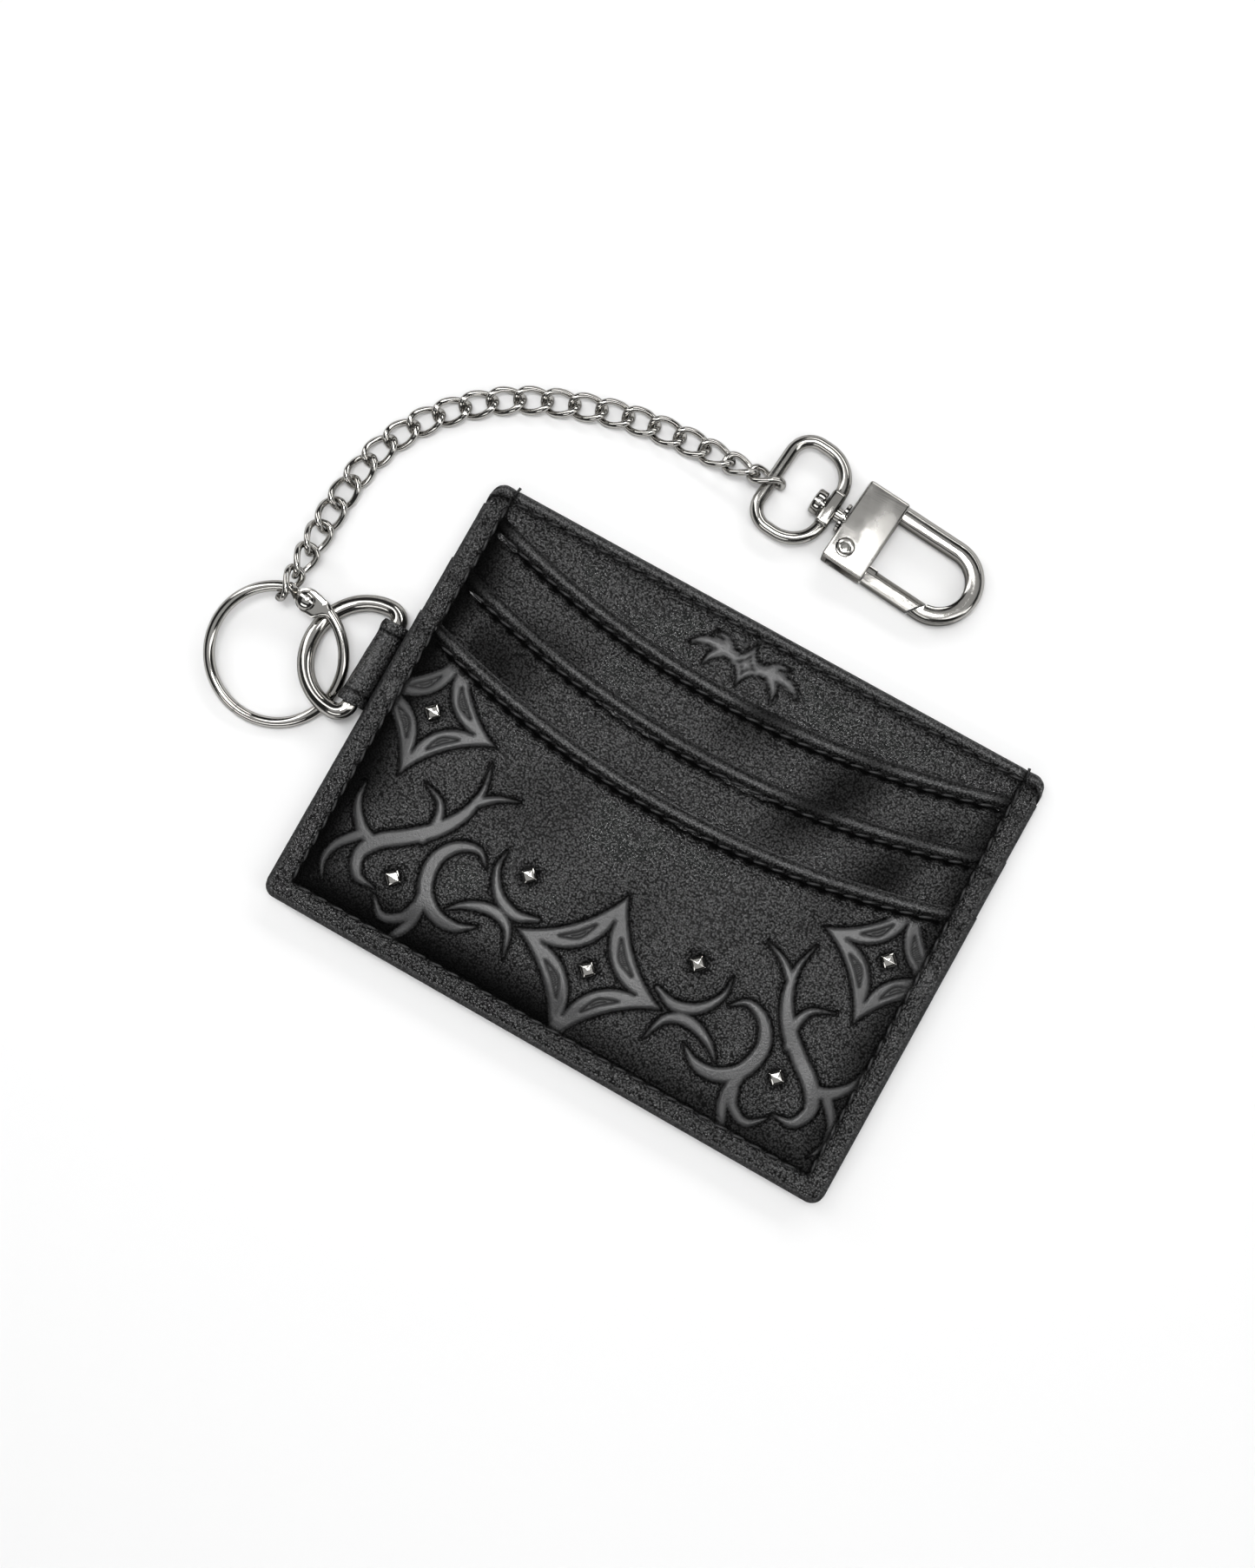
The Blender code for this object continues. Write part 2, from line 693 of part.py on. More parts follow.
def hook_housing():
    """Square housing: solid where the bow is set, a slot on the gate's side."""
    half = HOUSING_THICK / 2
    bm = block((HOUSING_U[0], -HOUSING_HALF, -half), (HOUSING_U[1], HOUSING_HALF, half))
    bmesh.ops.bevel(bm, geom=bm.edges, offset=0.5, segments=2, affect="EDGES", profile=0.5, material=-1)
    made = add_part("hook_housing", bm, CAST_NICKEL)
    inner = half - HOUSING_WALL + 0.05
    slot = block((HOUSING_WALL, -HOUSING_HALF - 1, -inner), (HOUSING_U[1] + 1, -1.4, inner))
    cut(made, add_cutter("gate_slot", slot))
    reach = BOW_BAR_WIDTH / 2 + 0.08
    tall = BOW_BAR_THICK / 2 + 0.08
    socket = block(
        (2.9, BOW_HALF_WIDTH - reach, -tall), (HOUSING_U[1] + 1, BOW_HALF_WIDTH + reach, tall),
    )
    cut(made, add_cutter("bow_socket", socket))
    cut(made, add_cutter("stud_socket", rod(STUD_SHAFT + 0.06, (-1, 0, 0), (1.9, 0, 0), 16)))
    u, v = GATE_PIVOT
    cut(made, add_cutter("rivet_bore", rod(0.78, (u, v, -4), (u, v, 4), 16)))
    cut(made, add_cutter("rivet_dimple_top", rod(1.5, (u, v, half - 0.42), (u, v, half + 1), 20)))
    cut(made, add_cutter("rivet_dimple_foot", rod(1.5, (u, v, -half - 1), (u, v, 0.42 - half), 20)))
    return place_on_hook(made, (0.0, 0.0, 0.0))


def bar_section(u, v, gap=0.0):
    """Chamfered bar section standing across the u direction, as (v, height) corners."""
    half_w = BOW_BAR_WIDTH / 2 - gap
    half_t = BOW_BAR_THICK / 2 - gap
    edge = 0.75
    corners = [(half_w, half_t - edge), (half_w - edge, half_t), (edge - half_w, half_t), (-half_w, half_t - edge)]
    corners += [(-y, -z) for y, z in corners]
    return [(u, v + y, z) for y, z in corners]


def hook_bow():
    """Bent bar: straight leg from the housing, half turn, short nose facing the gate."""
    bm = bmesh.new()
    section = bm.faces.new([bm.verts.new(point) for point in bar_section(3.0, BOW_HALF_WIDTH)])
    grown = bmesh.ops.extrude_face_region(bm, geom=[section])
    tip = [item for item in grown["geom"] if isinstance(item, bmesh.types.BMVert)]
    bmesh.ops.translate(bm, vec=(BOW_BEND_U - 3.0, 0.0, 0.0), verts=tip)
    face = [item for item in grown["geom"] if isinstance(item, bmesh.types.BMFace)]
    turn = bmesh.ops.spin(
        bm, geom=face, axis=(0.0, 0.0, -1.0), cent=(BOW_BEND_U, 0.0, 0.0), angle=math.pi, steps=14,
    )
    face = [item for item in turn["geom_last"] if isinstance(item, bmesh.types.BMFace)]
    grown = bmesh.ops.extrude_face_region(bm, geom=face)
    tip = [item for item in grown["geom"] if isinstance(item, bmesh.types.BMVert)]
    bmesh.ops.translate(bm, vec=(-3.0, 0.0, 0.0), verts=tip)
    bmesh.ops.delete(bm, geom=[f for f in bm.faces if inner_cap(f)], context="FACES_ONLY")
    made = add_part("hook_bow", bm, CAST_NICKEL)
    cut(made, add_cutter("nose_cut_bow", nose_side(0.0, -4.0)))
    return place_on_hook(made, (0.0, 0.0, 0.0))


def inner_cap(face):
    """True for a section face left inside the bar by extruding."""
    across = abs(face.normal.x) > 0.99 and len(face.verts) == 8
    u = face.calc_center_median().x
    return across and abs(u - BOW_BEND_U) < 0.01


def nose_side(near, far):
    """Slanting block between the gate's nose and the bow's end; near and far shift it along u."""
    low_v = -8.5
    high_v = -3.0
    slope = 1.9 / 2.7
    start = 16.45 + slope * (low_v + 7.05)
    end = 16.45 + slope * (high_v + 7.05)
    outline = [(start + near, low_v), (end + near, high_v), (end + far, high_v), (start + far, low_v)]
    return prism(outline, -3.0, 3.0)


def hook_gate():
    """Sprung gate: round hub on the rivet, flat tail in the housing, bar with a slanting nose."""
    u, v = GATE_PIVOT
    bm = prism([(8.2, -7.05), (20.0, -7.05), (20.0, -4.35), (8.2, -4.35)], -1.5, 1.5)
    edges = [edge for edge in bm.edges if abs(edge.verts[0].co.x - edge.verts[1].co.x) > 5]
    bmesh.ops.bevel(bm, geom=edges, offset=0.5, segments=1, affect="EDGES", profile=0.5, material=-1)
    made = add_part("hook_gate", bm, CAST_NICKEL)
    tail = disc_hull(((u, v, 1.45), (8.6, -5.0, 0.6), (8.6, -6.0, 0.7)), -0.1, 1.5)
    weld(made, add_part("tail", tail, CAST_NICKEL))
    cut(made, add_cutter("gate_bore", rod(0.78, (u, v, -4), (u, v, 4), 16)))
    cut(made, add_cutter("nose_cut_gate", nose_side(-0.15, 5.0)))
    return place_on_hook(made, (u, v, 0.0))


def gate_rivet():
    """Flush rivet that the gate turns on."""
    u, v = GATE_PIVOT
    profile = [(0.0, 2.42), (0.8, 2.42), (0.8, 2.3), (1.35, 2.3), (1.35, 2.12), (0.72, 2.12), (0.72, -2.12)]
    profile += [(1.35, -2.12), (1.35, -2.42), (0.0, -2.42)]
    bm = moved(turned(profile), Matrix.Translation((u, v, 0.0)))
    return place_on_hook(add_part("gate_rivet", bm, POLISHED_NICKEL), (u, v, 0.0))


def gate_spring():
    """Small torsion spring round the rivet, under the gate's hub."""
    u, v = GATE_PIVOT
    points = []
    steps = 30
    for index in range(steps + 1):
        angle = math.radians(200 + 900 * index / steps)
        height = -1.4 + 1.05 * index / steps
        points.append((u + 1.12 * math.cos(angle), v + 1.12 * math.sin(angle), height))
    points.append((u - 0.9, v + 2.2, -0.35))
    points.insert(0, (u + 1.0, v - 2.0, -1.4))
    return place_on_hook(add_part("gate_spring", wire(points, 0.16, resolution=1), SPRING_STEEL), (u, v, 0.0))


# ---------------------------------------------------------------- build

back_panel()
pocket_linings()
front_panel()
slot_panel("slot_panel_upper", UPPER_MOUTH, UPPER_Z)
slot_panel("slot_panel_middle", MIDDLE_MOUTH, MIDDLE_Z)
lower_panel()
for number, spot in enumerate(STUD_PLACES, 1):
    pyramid_stud("stud_%02d" % number, spot)
threads()
ring_tab()
d_ring()
ring_hinged_half()
ring_opening_half()
ring_rivet()
chain_links()
swivel_loop()
swivel_stud()
swivel_washer()
hook_housing()
hook_bow()
hook_gate()
gate_rivet()
gate_spring()
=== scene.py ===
"""Finished look of the chain wallet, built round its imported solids.

Meshes are drawn in millimetres and made metres as each piece is finished.
"""

import json
import math

import bmesh
import bpy
import numpy as np
from bmesh.types import BMEdge, BMFace, BMVert
from mathutils import Matrix, Vector


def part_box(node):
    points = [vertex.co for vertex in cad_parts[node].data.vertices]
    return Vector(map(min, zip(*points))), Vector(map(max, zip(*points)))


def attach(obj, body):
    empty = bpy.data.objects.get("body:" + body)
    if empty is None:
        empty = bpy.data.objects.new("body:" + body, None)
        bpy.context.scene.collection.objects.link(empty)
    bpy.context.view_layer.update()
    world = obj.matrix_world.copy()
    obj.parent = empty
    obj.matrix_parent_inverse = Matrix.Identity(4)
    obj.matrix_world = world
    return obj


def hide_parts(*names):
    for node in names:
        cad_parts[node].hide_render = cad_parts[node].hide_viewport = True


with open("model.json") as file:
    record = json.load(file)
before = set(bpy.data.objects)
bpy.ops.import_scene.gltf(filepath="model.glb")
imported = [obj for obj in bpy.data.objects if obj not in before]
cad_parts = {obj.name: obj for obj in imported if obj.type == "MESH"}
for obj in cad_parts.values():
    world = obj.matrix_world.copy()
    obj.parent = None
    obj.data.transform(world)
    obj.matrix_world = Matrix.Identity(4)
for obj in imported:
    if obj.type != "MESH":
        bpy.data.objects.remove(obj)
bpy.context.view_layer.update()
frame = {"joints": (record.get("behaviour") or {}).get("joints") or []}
joints = {joint["name"]: joint for joint in frame["joints"]}


# ------------------------ table, light and camera
# A plain white table top under a small bright softbox and a wide dim panel, with a strip light on each
# side. The room is dark between the lights and the pale backdrop, which draws dark lines on the wires.

TABLE_HALF = 0.55
TABLE_DROP = 0.00005


def linear_colour(hex_code):
    """An sRGB hex colour as linear RGBA."""
    made = []
    for index in (0, 2, 4):
        value = int(hex_code[index:index + 2], 16) / 255
        made.append(value / 12.92 if value <= 0.04045 else ((value + 0.055) / 1.055) ** 2.4)
    return (*made, 1.0)


def add_node(tree, kind, inputs=None, feeds=None, **settings):
    """Add a node with its settings. An input is a value, a socket or a node, which gives its first output."""
    made = tree.nodes.new(kind)
    for key, value in settings.items():
        setattr(made, key, value)
    for key, value in (inputs or {}).items():
        if isinstance(value, bpy.types.Node):
            value = value.outputs[0]
        if isinstance(value, bpy.types.NodeSocket):
            tree.links.new(value, made.inputs[key])
        else:
            made.inputs[key].default_value = value
    if feeds:
        tree.links.new(made.outputs[0], feeds)
    return made


def set_out(name, data):
    """Put new data in the scene as an object."""
    made = bpy.data.objects.new(name, data)
    bpy.context.scene.collection.objects.link(made)
    return made


def start_material(name, colour, metallic, roughness):
    """A Principled material with its plain values, its tree, its shader and its object coordinates."""
    made = bpy.data.materials.new(name)
    made.use_nodes = True
    shader = made.node_tree.nodes["Principled BSDF"]
    shader.inputs["Base Color"].default_value = linear_colour(colour)
    shader.inputs["Metallic"].default_value = metallic
    shader.inputs["Roughness"].default_value = roughness
    shader.inputs["IOR"].default_value = 1.5
    # Metals get a grey edge tint, a painted darkening of their reflections at grazing angles that draws dark
    # outlines along the wires.
    shader.inputs["Specular Tint"].default_value = linear_colour("707070" if metallic else "FFFFFF")
    place = add_node(made.node_tree, "ShaderNodeTexCoord").outputs["Object"]
    return made, made.node_tree, shader, place


table_paint, tree, shader, place = start_material("matt_white_table", "F4F4F4", 0.0, 0.9)
shader.inputs["Specular IOR Level"].default_value = 0.1
table_bm = bmesh.new()
bmesh.ops.create_grid(table_bm, x_segments=2, y_segments=2, size=TABLE_HALF)
table_mesh = bpy.data.meshes.new("table_top")
table_bm.to_mesh(table_mesh)
table_bm.free()
table_mesh.materials.append(table_paint)
table_top = set_out("table_top", table_mesh)
table_top.location = (0.0, 0.0, -TABLE_DROP)

# Name, width and depth in metres, brightness of the lit face, and place. All face the middle of the table.
for lamp_name, width, depth, glow, stand in (
    ("overhead_softbox", 0.24, 0.14, 15.0, (-0.03, 0.04, 0.6)),
    ("ceiling_panel", 0.9, 0.9, 0.5, (0.0, 0.0, 0.8)),
    ("left_strip", 0.16, 0.6, 3.3, (-0.42, 0.1, 0.42)),
    ("right_strip", 0.16, 0.6, 2.6, (0.42, 0.0, 0.42)),
    ("rear_strip", 0.6, 0.16, 3.6, (0.05, 0.5, 0.4)),
    ("front_strip", 0.5, 0.16, 2.5, (-0.05, -0.48, 0.4)),
):
    lamp = bpy.data.lights.new(lamp_name, "AREA")
    lamp.shape = "RECTANGLE"
    lamp.size = width
    lamp.size_y = depth
    lamp.energy = glow * math.pi * width * depth
    lamp_object = set_out(lamp_name, lamp)
    lamp_object.location = stand
    lamp_object.rotation_euler = (-Vector(stand)).to_track_quat("-Z", "Y").to_euler()

room = bpy.data.worlds.new("dim_studio")
room.use_nodes = True
look = add_node(room.node_tree, "ShaderNodeTexCoord")
height = add_node(room.node_tree, "ShaderNodeSeparateXYZ", {0: look}).outputs["Z"]
backdrop = room.node_tree.nodes["Background"]
backdrop.inputs["Color"].default_value = linear_colour("FFFFFF")
add_node(
    room.node_tree, "ShaderNodeMapRange",
    {"Value": height, "From Min": 0.08, "From Max": 0.24, "To Min": 0.8, "To Max": 0.03},
    backdrop.inputs["Strength"], interpolation_type="SMOOTHSTEP",
)
bpy.context.scene.world = room
bpy.context.scene.view_settings.view_transform = "Standard"

camera = bpy.data.cameras.new("camera")
camera.sensor_fit = "HORIZONTAL"
camera.sensor_width = 36.0
camera.lens = 49.8
camera_object = set_out("camera", camera)
camera_object.location = (0.0103, -0.0063, 0.2767)
camera_object.rotation_euler = (math.radians(3.93), math.radians(2.12), math.radians(29.32))
bpy.context.scene.camera = camera_object


# ------------------------ outer back
# The wallet's back is one sheet of coated split leather with its edges painted black. It is cut with a
# die, and a crease line is pressed one millimetre in from the edge before sewing.

HALF_LENGTH = 50.0
HALF_HEIGHT = 37.8
CORNER = 2.2
BACK_FOOT, BACK_TOP = 0.0, 0.8
CHANNEL_IN = 3.75
STITCH_PITCH = 3.0

# Coated leather: a thin polyurethane film embossed with a fine pebble grain, satin. The pressed lines
# close the grain, so they shine more. Real pebbles are 0.3 mm across; drawn 0.36 mm so that they show.
leather, tree, shader, place = start_material("embossed_coated_leather", "0B0B0C", 0.0, 0.3)
# The pressed mask marks smooth die-pressed leather and the painted rim, and also paints highlights along the
# crests of beads and of the ring tab.
pressed = add_node(tree, "ShaderNodeAttribute", attribute_name="pressed").outputs["Fac"]
# Painted shade: this mask turns the colour near black, the surface rougher and the gloss almost off, in
# channels, grooves, folds, beside seams and in broad patches.
painted_shade = add_node(tree, "ShaderNodeAttribute", attribute_name="painted_shade").outputs["Fac"]
bend = add_node(tree, "ShaderNodeTexNoise", {"Vector": place, "Scale": 1500.0, "Detail": 2.0})
drift = add_node(
    tree, "ShaderNodeVectorMath", {0: bend.outputs["Color"], "Scale": 0.00028}, operation="SCALE",
)
bent = add_node(tree, "ShaderNodeVectorMath", {0: place, 1: drift}, operation="ADD")
pebble = add_node(
    tree, "ShaderNodeTexVoronoi", {"Vector": bent, "Scale": 2800.0, "Randomness": 0.9}, feature="SMOOTH_F1",
)
pebble.inputs["Smoothness"].default_value = 0.35
pebble_top = add_node(
    tree, "ShaderNodeMapRange",
    {"Value": pebble, "From Min": 0.15, "From Max": 0.75, "To Min": 1.0, "To Max": 0.0},
)
patches = add_node(tree, "ShaderNodeTexNoise", {"Vector": place, "Scale": 60.0, "Detail": 4.0})
pores = add_node(tree, "ShaderNodeTexNoise", {"Vector": place, "Scale": 9000.0, "Detail": 2.0})
open_grain = add_node(tree, "ShaderNodeMapRange", {"Value": pressed, "To Min": 1.0, "To Max": 0.12})
grain = add_node(tree, "ShaderNodeMath", {0: pebble_top, 1: open_grain}, operation="MULTIPLY")
with_pores = add_node(tree, "ShaderNodeMath", {0: pores, 1: 0.18, 2: grain}, operation="MULTIPLY_ADD")
add_node(
    tree, "ShaderNodeBump", {"Height": with_pores, "Strength": 1.0, "Distance": 0.00017},
    shader.inputs["Normal"],
)
tone = add_node(
    tree, "ShaderNodeMix",
    {0: grain, 6: linear_colour("050505"), 7: linear_colour("131314")}, data_type="RGBA",
).outputs[2]
# Pressed leather is drawn lighter; along the crests this is a painted highlight.
pressed_and_highlight_tone = add_node(
    tree, "ShaderNodeMix", {0: pressed, 6: tone, 7: linear_colour("232324")}, data_type="RGBA",
).outputs[2]
# Painted shade turns the colour near black.
painted_dark_tone = add_node(
    tree, "ShaderNodeMix", {0: painted_shade, 6: pressed_and_highlight_tone, 7: linear_colour("020202")}, data_type="RGBA",
).outputs[2]
tree.links.new(painted_dark_tone, shader.inputs["Base Color"])
rough_mix = add_node(
    tree, "ShaderNodeMapRange",
    {"Value": patches, "From Min": 0.3, "From Max": 0.7, "To Min": 0.22, "To Max": 0.33},
)
rough_pressed = add_node(tree, "ShaderNodeMix", {0: pressed, 2: rough_mix, 3: 0.38})
add_node(tree, "ShaderNodeMix", {0: painted_shade, 2: rough_pressed, 3: 0.75}, shader.inputs["Roughness"])
open_level = add_node(tree, "ShaderNodeMapRange", {"Value": pressed, "To Min": 0.55, "To Max": 0.95})
valley = add_node(tree, "ShaderNodeMapRange", {"Value": pebble_top, "To Min": 0.2, "To Max": 3.0})
flat_valley = add_node(tree, "ShaderNodeMix", {0: pressed, 2: valley, 3: 1.0})
grain_level = add_node(tree, "ShaderNodeMath", {0: open_level, 1: flat_valley}, operation="MULTIPLY")
# Painted shade also takes the gloss almost away.
add_node(tree, "ShaderNodeMix", {0: painted_shade, 2: grain_level, 3: 0.03}, shader.inputs["Specular IOR Level"])


def finish_piece(bm, name, material, body, nodes=(), sharp=38.0, merge=True):
    """Turn a millimetre bmesh into a piece in metres that rides on a body."""
    if merge:
        bmesh.ops.remove_doubles(bm, verts=bm.verts, dist=0.0005)
        bmesh.ops.recalc_face_normals(bm, faces=bm.faces)
    bmesh.ops.scale(bm, vec=(0.001, 0.001, 0.001), verts=bm.verts)
    mesh = bpy.data.meshes.new(name)
    bm.to_mesh(mesh)
    bm.free()
    mesh.materials.append(material)
    mesh.shade_smooth()
    mesh.set_sharp_from_angle(angle=math.radians(sharp))
    piece = set_out(name, mesh)
    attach(piece, body)
    if nodes:
        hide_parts(*nodes)
    return piece


def only(kind, items):
    """The items of one kind among a bmesh operator's results."""
    return [item for item in items if isinstance(item, kind)]


def unit(share):
    """Keep a share from 0 to 1."""
    return np.clip(share, 0, 1)


def ridge(where, middle, width):
    """A smooth ridge, 1 high at its middle."""
    return np.exp(-((where - middle) / width) ** 2)


def mark_leather(piece, smooth, shade_paint):
    """Store each point's pressed smoothness, which includes painted highlights, and its painted shade, for
    the leather to read.
    """
    for key, values in (("pressed", smooth), ("painted_shade", shade_paint)):
        attribute = piece.data.attributes.new(key, "FLOAT", "POINT")
        attribute.data.foreach_set("value", values.astype(np.float32))


def rounded_foot(x):
    """Lower edge of the wallet with its rounded corners."""
    past = np.clip(np.abs(x) - (HALF_LENGTH - CORNER), 0.0, CORNER)
    return -HALF_HEIGHT + CORNER - np.sqrt(CORNER ** 2 - past ** 2)


def edge_distance(x, y, top):
    """Distance in from a sheet's cut edge at the sides and foot, and from its upper edge."""
    sides = HALF_LENGTH - np.abs(x)
    foot = y - rounded_foot(x)
    return np.minimum(sides, foot), top - y


def seam_profile(edge):
    """Height over the sheet: painted rim, soft border, sewn channel, then the body."""
    rim = -0.4 * unit(1 - edge / 0.8) ** 1.7 - 0.16 * ridge(edge, 1.05, 0.2)
    border = 0.2 * ridge(edge, 2.1, 0.8)
    channel = -0.34 * ridge(edge, CHANNEL_IN, 0.55)
    return rim + border + channel


def puckers(along, edge, middle):
    """How far a row of stitches gathers the leather beside it, from 0 to 1."""
    return (0.5 + 0.5 * np.cos(2 * np.pi * along / STITCH_PITCH)) * ridge(edge, middle, 0.42)


def leather_sheet(name, upper_edge, faces_up, near_z, far_z, columns, rows, shape, nodes):
    """A cut sheet: a fine grid for its shown face, a rim round it and a flat unseen face."""
    bm = bmesh.new()
    bmesh.ops.create_grid(bm, x_segments=columns, y_segments=rows, size=1.0)
    ends = np.array([vert.co[:2] for vert in bm.verts])
    x = HALF_LENGTH * ends[:, 0]
    top = upper_edge(x)
    low = rounded_foot(x)
    y = low + (top - low) * (ends[:, 1] + 1) / 2
    rise, smooth, shade_paint = shape(x, y, top)
    out = 1.0 if faces_up else -1.0
    for vert, new_x, new_y, lift in zip(bm.verts, x, y, rise):
        vert.co = (new_x, new_y, near_z + out * lift)
    count = len(bm.verts)
    rim = [edge for edge in bm.edges if edge.is_boundary]
    grown = bmesh.ops.extrude_edge_only(bm, edges=rim)
    for vert in only(BMVert, grown["geom"]):
        vert.co.z = far_z
    bmesh.ops.contextual_create(bm, geom=only(BMEdge, grown["geom"]))
    bmesh.ops.recalc_face_normals(bm, faces=bm.faces)
    piece = finish_piece(bm, name, leather, "wallet", nodes, merge=False, sharp=50.0)
    extra = len(piece.data.vertices) - count
    mark_leather(piece, np.append(smooth, np.ones(extra)), np.append(shade_paint, np.zeros(extra)))


def top_line(x):
    """Straight upper edge of the back and front sheets, with the same rounded corners."""
    return -rounded_foot(x)


def plain_face(x, y, top):
    """Back sheet: a painted rim, a creased border and the sewn channels, with painted shade along the
    channels.
    """
    side, upper = edge_distance(x, y, top)
    edge = np.minimum(side, upper)
    rise = seam_profile(side) + seam_profile(upper)
    rise += 0.25 * unit((edge - 4.5) / 6) - 0.25
    smooth = unit((0.95 - edge) / 0.2)
    # Painted shade along the sewn channels.
    shade_paint = 0.5 * ridge(edge, 3.6, 0.35)
    return np.minimum(rise, 0.0), smooth, shade_paint


leather_sheet("back_leather", top_line, False, BACK_FOOT, BACK_TOP, 200, 150, plain_face, ("back_panel",))


# ------------------------ note pocket linings
# Two faces of plain woven polyester, cut smaller than the leather and sewn in behind it. They lie slack,
# so they ripple a little.

# Polyester taffeta: a plain weave, dull, with a faint sheen. Threads are 0.25 mm apart.
lining, tree, shader, place = start_material("woven_polyester_lining", "1A1A1C", 0.0, 0.85)
shader.inputs["Sheen Weight"].default_value = 0.25
warp = add_node(tree, "ShaderNodeTexWave", {"Vector": place, "Scale": 640.0}, bands_direction="X")
weft = add_node(tree, "ShaderNodeTexWave", {"Vector": place, "Scale": 640.0}, bands_direction="Y")
cloth = add_node(
    tree, "ShaderNodeMath", {0: warp.outputs["Fac"], 1: weft.outputs["Fac"]}, operation="MULTIPLY",
)
add_node(
    tree, "ShaderNodeBump", {"Height": cloth, "Strength": 0.5, "Distance": 0.00005},
    shader.inputs["Normal"],
)
for name in ("pocket_lining_back", "pocket_lining_front"):
    low, high = (Vector(corner) * 1000 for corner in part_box(name))
    bm = bmesh.new()
    bmesh.ops.create_grid(bm, x_segments=60, y_segments=46, size=1.0)
    for vert in bm.verts:
        ripple = 0.02 * math.sin(vert.co.x * 9) * math.sin(vert.co.y * 5)
        vert.co = (
            (low.x + high.x) / 2 + vert.co.x * (high.x - low.x) / 2,
            (low.y + high.y) / 2 + vert.co.y * (high.y - low.y) / 2, (low.z + high.z) / 2 + 0.08 + ripple,
        )
    cloth_piece = finish_piece(bm, name + "_cloth", lining, "wallet", (name,), merge=False)
    thickness = cloth_piece.modifiers.new("cloth", "SOLIDIFY")
    thickness.thickness = 0.00018
    thickness.offset = -1.0


# ------------------------ front sheet
# The sheet behind the slots. Only its upper strip shows, with a turned top edge, one sewn row and a
# small plain ornament pressed with a heated brass die.

FRONT_FOOT, FRONT_TOP = 1.75, 2.5
MARK_MIDDLE = (-0.6, 30.9)


def smooth_path(points, steps=8):
    """A smooth line through a few rows of numbers."""
    points = np.array(points, float)
    padded = np.vstack([2 * points[0] - points[1], points, 2 * points[-1] - points[-2]])
    made = []
    for index in range(1, len(padded) - 2):
        p0, p1, p2, p3 = padded[index - 1:index + 3]
        for t in np.arange(steps) / steps:
            made.append(
                0.5 * (2 * p1 + (p2 - p0) * t + (2 * p0 - 5 * p1 + 4 * p2 - p3) * t ** 2
                       + (3 * p1 - p0 - 3 * p2 + p3) * t ** 3)
            )
    made.append(points[-1])
    return np.array(made)


def stroke_distance(x, y, stroke, turn=1.0, shift=0.0):
    """Distance outside a tapering stroke of (x, y, half width) rows, mirrored and shifted along x."""
    path = smooth_path([(turn * px + shift, py, pr) for px, py, pr in stroke])
    away = np.full(x.shape, 9.0)
    near = (x > path[:, 0].min() - 5) & (x < path[:, 0].max() + 5)
    near &= (y > path[:, 1].min() - 5) & (y < path[:, 1].max() + 5)
    px, py = x[near], y[near]
    best = np.full(px.shape, 9.0)
    for (ax, ay, ar), (bx, by, br) in zip(path, path[1:]):
        dx, dy = bx - ax, by - ay
        t = unit(((px - ax) * dx + (py - ay) * dy) / (dx * dx + dy * dy + 1e-9))
        gap = np.hypot(px - ax - t * dx, py - ay - t * dy) - np.maximum(ar + (br - ar) * t, 0.0)
        best = np.minimum(best, gap)
    away[near] = best
    return away


def star_distance(x, y, middle, reach, hollowness):
    """Distance outside a four-point star with concave sides; negative inside."""
    dx = np.abs(x - middle[0])
    dy = np.abs(y - middle[1])
    centre = reach * hollowness
    radius = math.hypot(reach - centre, centre)
    bay = radius - np.hypot(dx - centre, dy - centre)
    return np.maximum(bay, (dx + dy - reach) * 0.707)


def pressed_relief(gap, lines):
    """Height, smoothness and painted shade of die-pressed work from its outline and line distances: the shade
    is painted in the outline's groove and along the fine lines.
    """
    inside = unit(0.5 - gap / 0.3)
    puff = 0.42 * (1 - np.exp(-np.clip(gap, 0, None) / 1.7))
    groove = ridge(gap, 0.12, 0.3)
    fine = np.exp(-(lines / 0.2) ** 2)
    rise = puff * (1 - inside) - 0.05 * inside - 0.42 * groove - 0.22 * fine * inside
    return rise, inside, unit(0.95 * groove + 0.8 * fine * inside)


